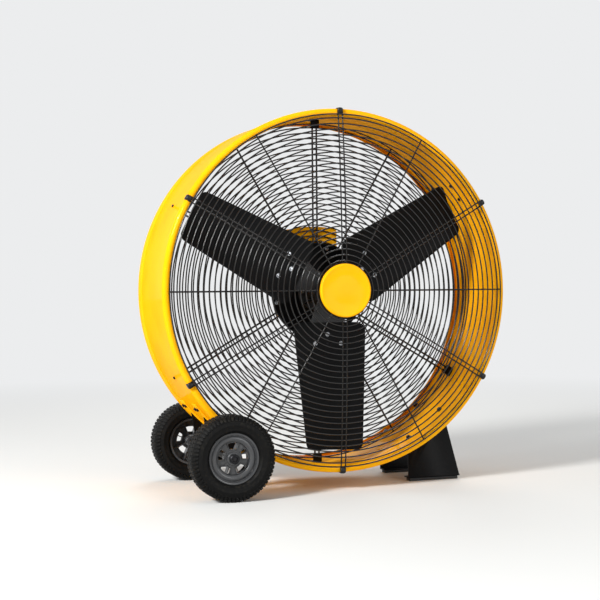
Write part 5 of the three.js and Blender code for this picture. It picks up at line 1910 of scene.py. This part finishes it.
@dataclass
class Handle(Assembly):
    """The bent tube handle with its ribbed grip."""

    angle: float = 35.0
    tube_radius: float = 11 * MM
    tube_sides: int = 24
    bend: float = 24 * MM
    bend_steps: int = 8
    height: float = 42 * MM
    foot_length: float = 76 * MM
    foot_width: float = 30 * MM
    foot_sheet: float = 4 * MM
    foot_overlap: float = 2 * MM
    foot_edge: Point = (0.9 * MM, 30)
    screw_inset: float = 12 * MM
    screw_head: float = 5 * MM
    nut_head: float = 4.5 * MM
    nut_spread: float = 2.7
    wall_flats: int = 36
    grip_wall: float = 3 * MM
    grip_margin: float = 2 * MM
    grip_edge: float = 1 * MM
    rib_count: int = 17
    rib_height: float = 0.5 * MM

    def bar(self, base: float, front: float, back: float) -> Shape:
        """The tube, drawn with +X outwards from the drum.

        Args:
            base: Radius of the feet.
            front: Y of the front leg.
            back: Y of the back leg.

        Returns:
            The tube from one foot to the other.
        """
        start, top = base + self.foot_overlap, base + self.height - self.bend
        first = arc((top, front + self.bend), self.bend, -90, 0, self.bend_steps)
        second = arc((top, back - self.bend), self.bend, 0, 90, self.bend_steps)
        route = [Vector((r, y, 0)) for r, y in [(start, front), *first, *second, (start, back)]]
        side = Vector((0, 0, 1))
        turns = [polar(1, 360 * i / self.tube_sides) for i in range(self.tube_sides)]
        sections = []
        for i, point in enumerate(route):
            forward = (route[min(i + 1, len(route) - 1)] - route[max(i - 1, 0)]).normalized()
            out = forward.cross(side)
            sections.append([point + (side * across + out * up) * self.tube_radius for across, up in turns])
        return lofted(sections)

    def build(self) -> None:
        """Builds the tube, its feet, its screws and the grip."""
        low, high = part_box("handle_bar")
        half = self.foot_width / 2
        legs = (low.y + half, high.y - half)
        base = self.drum.wall_outer * math.cos(math.pi / self.wall_flats) + SEAT_GAP
        place = self.drum.at_angle(self.angle)
        make("handle_tube", self.bar(base, *legs).moved(place), BLACK_COAT, ["handle_bar"])
        out = place.to_3x3() @ Vector((1, 0, 0))
        offset = self.foot_length / 2 - self.screw_inset
        feet, seats, nuts = Shape(), [], []
        for y in legs:
            corner = (base + self.foot_sheet, y + half, self.foot_length / 2)
            feet = feet + box((base, y - half, -self.foot_length / 2), corner)
            for side in (-1, 1):
                seats.append((place @ Vector((base + self.foot_sheet, y, side * offset)), out))
                nuts.append(self.drum.on_wall(self.angle + side * self.nut_spread, y, outside=False))
        make("handle_feet", feet.moved(place), BLACK_COAT, soft=self.foot_edge)
        self.build_grip(place @ Matrix.Translation((base + self.height, 0, 0)))
        self.shop.screws("handle_screws", seats, self.screw_head)
        self.shop.screws("handle_nuts", nuts, self.nut_head, BLACK_OXIDE)

    def build_grip(self, centre: Matrix) -> None:
        """Builds the grip as a row of rounded ribs on a sleeve.

        Args:
            centre: The place of the grip's axis.
        """
        low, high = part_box("handle_grip")
        bore = self.tube_radius + SEAT_GAP
        outer = bore + self.grip_wall
        sleeve = tube(outer - self.rib_height, bore, low.y, high.y, self.grip_edge, GRIP_FACETS)
        make("handle_sleeve", sleeve.moved(centre), SOFT_RUBBER, ["handle_grip"])
        pitch = (high.y - low.y - 2 * self.grip_margin) / self.rib_count
        start = low.y + self.grip_margin + pitch / 2
        half = pitch / 4
        foot, edge = outer - 1 * MM, outer - self.rib_height / 2
        front = [(foot, start - half), (edge, start - half), (outer, start - half / 2)]
        back = [(outer, start + half / 2), (edge, start + half), (foot, start + half)]
        ring = turned([*front, *back], GRIP_FACETS).moved(centre)
        ribs = self.shop.row_of("handle_grip_ribs", ring, SOFT_RUBBER, self.rib_count, (0, pitch, 0))
        dress(ribs, SOFT_RUBBER)


# ---------------------------------------------------------------- stage


@dataclass(frozen=True)
class Lamp:
    """A square area lamp: its name, place, side in metres and power in watts."""

    name: str
    place: tuple[float, float, float]
    size: float
    power: float

    def build(self, aim: Vector) -> None:
        """Hangs the lamp so that it faces a point.

        Args:
            aim: The point.
        """
        light = bpy.data.lights.new(self.name, "AREA")
        light.shape = "SQUARE"
        light.size = self.size
        light.energy = self.power
        lamp = bpy.data.objects.new(self.name, light)
        bpy.context.scene.collection.objects.link(lamp)
        lamp.location = self.place
        lamp.rotation_euler = (aim - Vector(self.place)).to_track_quat("-Z", "Y").to_euler()


@dataclass
class Studio:
    """The floor, the backdrop, the lamps and the camera."""

    lamps: tuple[Lamp, ...] = (
        Lamp("key_lamp", (-4.5, -2.7, 3.2), 1.1, 420),
        Lamp("fill_lamp", (2.4, -4.6, 1.8), 2.6, 60),
        Lamp("rim_lamp", (1.5, 4.0, 3.8), 2.4, 90),
    )
    aim_height: float = 0.55
    camera_place: tuple[float, float, float] = (-1.4127, -3.9179, 0.6093)
    yaw: float = 0.3293
    pitch: float = -0.0056
    roll: float = -0.0086
    lens: float = 78.02
    sensor: float = 36
    clip_end: float = 60
    floor_colour: str = "#e6e6e3"
    floor_roughness: float = 0.8
    floor_specular: float = 0.1
    floor_half: float = 40.0
    fade: Point = (1.8, 5.5)
    sky_colour: str = "#f4f6fa"
    sky_strength: float = 0.42
    backdrop_colour: str = "#ecedee"

    def build(self) -> None:
        """Builds the floor, the lamps, the world and the camera."""
        self.build_floor()
        for lamp in self.lamps:
            lamp.build(Vector((0, 0, self.aim_height)))
        self.build_world()
        self.build_camera()

    def build_floor(self) -> None:
        """Builds a wide pale floor that fades into the background away from the fan."""
        half = self.floor_half
        corners = [(-half, -half, 0), (half, -half, 0), (half, half, 0), (-half, half, 0)]
        mesh = bpy.data.meshes.new("studio_floor")
        mesh.from_pydata(corners, [], [(0, 1, 2, 3)])
        floor = new_piece("studio_floor", mesh)
        paint = bpy.data.materials.new("matt_floor_paint")
        paint.use_nodes = True
        tree = paint.node_tree
        shader = tree.nodes["Principled BSDF"]
        matt = {"Roughness": self.floor_roughness, "Specular IOR Level": self.floor_specular}
        feed(tree, shader, {"Base Color": linear(self.floor_colour), **matt})
        place = add(tree, "ShaderNodeTexCoord").outputs["Object"]
        distance = add(tree, "ShaderNodeVectorMath", {0: place}, operation="LENGTH").outputs["Value"]
        far = ranged(tree, distance, self.fade)
        far.interpolation_type = "SMOOTHSTEP"
        seen = add(tree, "ShaderNodeLightPath").outputs["Is Camera Ray"]
        glow = add(tree, "ShaderNodeEmission", {"Color": linear(self.backdrop_colour)})
        faded = add(tree, "ShaderNodeMixShader", {0: Term(tree, far) * seen, 1: shader, 2: glow})
        feed(tree, tree.nodes["Material Output"], {"Surface": faded})
        floor.data.materials.append(paint)

    def build_world(self) -> None:
        """Lights the world evenly, and shows the camera and reflections the pale background."""
        world = bpy.data.worlds.new("studio_world")
        bpy.context.scene.world = world
        world.use_nodes = True
        tree = world.node_tree
        light = tree.nodes["Background"]
        feed(tree, light, {"Color": linear(self.sky_colour), "Strength": self.sky_strength})
        shown = add(tree, "ShaderNodeBackground", {"Color": linear(self.backdrop_colour), "Strength": 1.0})
        path = add(tree, "ShaderNodeLightPath").outputs
        mirrored = Term(tree, path["Is Glossy Ray"]).by("MAXIMUM", path["Is Transmission Ray"])
        seen = Term(tree, path["Is Camera Ray"]).by("MAXIMUM", mirrored)
        mixed = add(tree, "ShaderNodeMixShader", {0: seen, 1: light, 2: shown})
        feed(tree, tree.nodes["World Output"], {"Surface": mixed})

    def build_camera(self) -> None:
        """Builds the camera at the photograph's viewing angle."""
        camera = bpy.data.cameras.new("photo_camera")
        camera.lens = self.lens
        camera.sensor_width = self.sensor
        camera.clip_end = self.clip_end
        made = bpy.data.objects.new("photo_camera", camera)
        bpy.context.scene.collection.objects.link(made)
        level = Vector((math.sin(self.yaw), math.cos(self.yaw), 0)) * math.cos(self.pitch)
        forward = level + Vector((0, 0, math.sin(self.pitch)))
        right = Vector((math.cos(self.yaw), -math.sin(self.yaw), 0))
        up = right.cross(forward)
        tilted_right = right * math.cos(self.roll) + up * math.sin(self.roll)
        tilted_up = up * math.cos(self.roll) - right * math.sin(self.roll)
        turn = Matrix((tilted_right, tilted_up, -forward)).transposed()
        made.matrix_world = Matrix.Translation(self.camera_place) @ turn.to_4x4()
        bpy.context.scene.camera = made


# ---------------------------------------------------------------- assembly


def main() -> None:
    """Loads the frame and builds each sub-assembly."""
    logging.basicConfig(level=logging.INFO, format="%(name)s %(message)s")
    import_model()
    bpy.context.scene.view_settings.view_transform = "Standard"
    shop = Workshop()
    drum = Drum(shop)
    drum.build()
    for assembly in (FrontGuard, RearGuard, Rotor, Drive, RearCover):
        assembly(drum, shop).build()
    for end in End:
        Wheel(end, shop).build()
    for assembly in (Undercarriage, Handle):
        assembly(drum, shop).build()
    Studio().build()


if __name__ == "__main__":
    main()
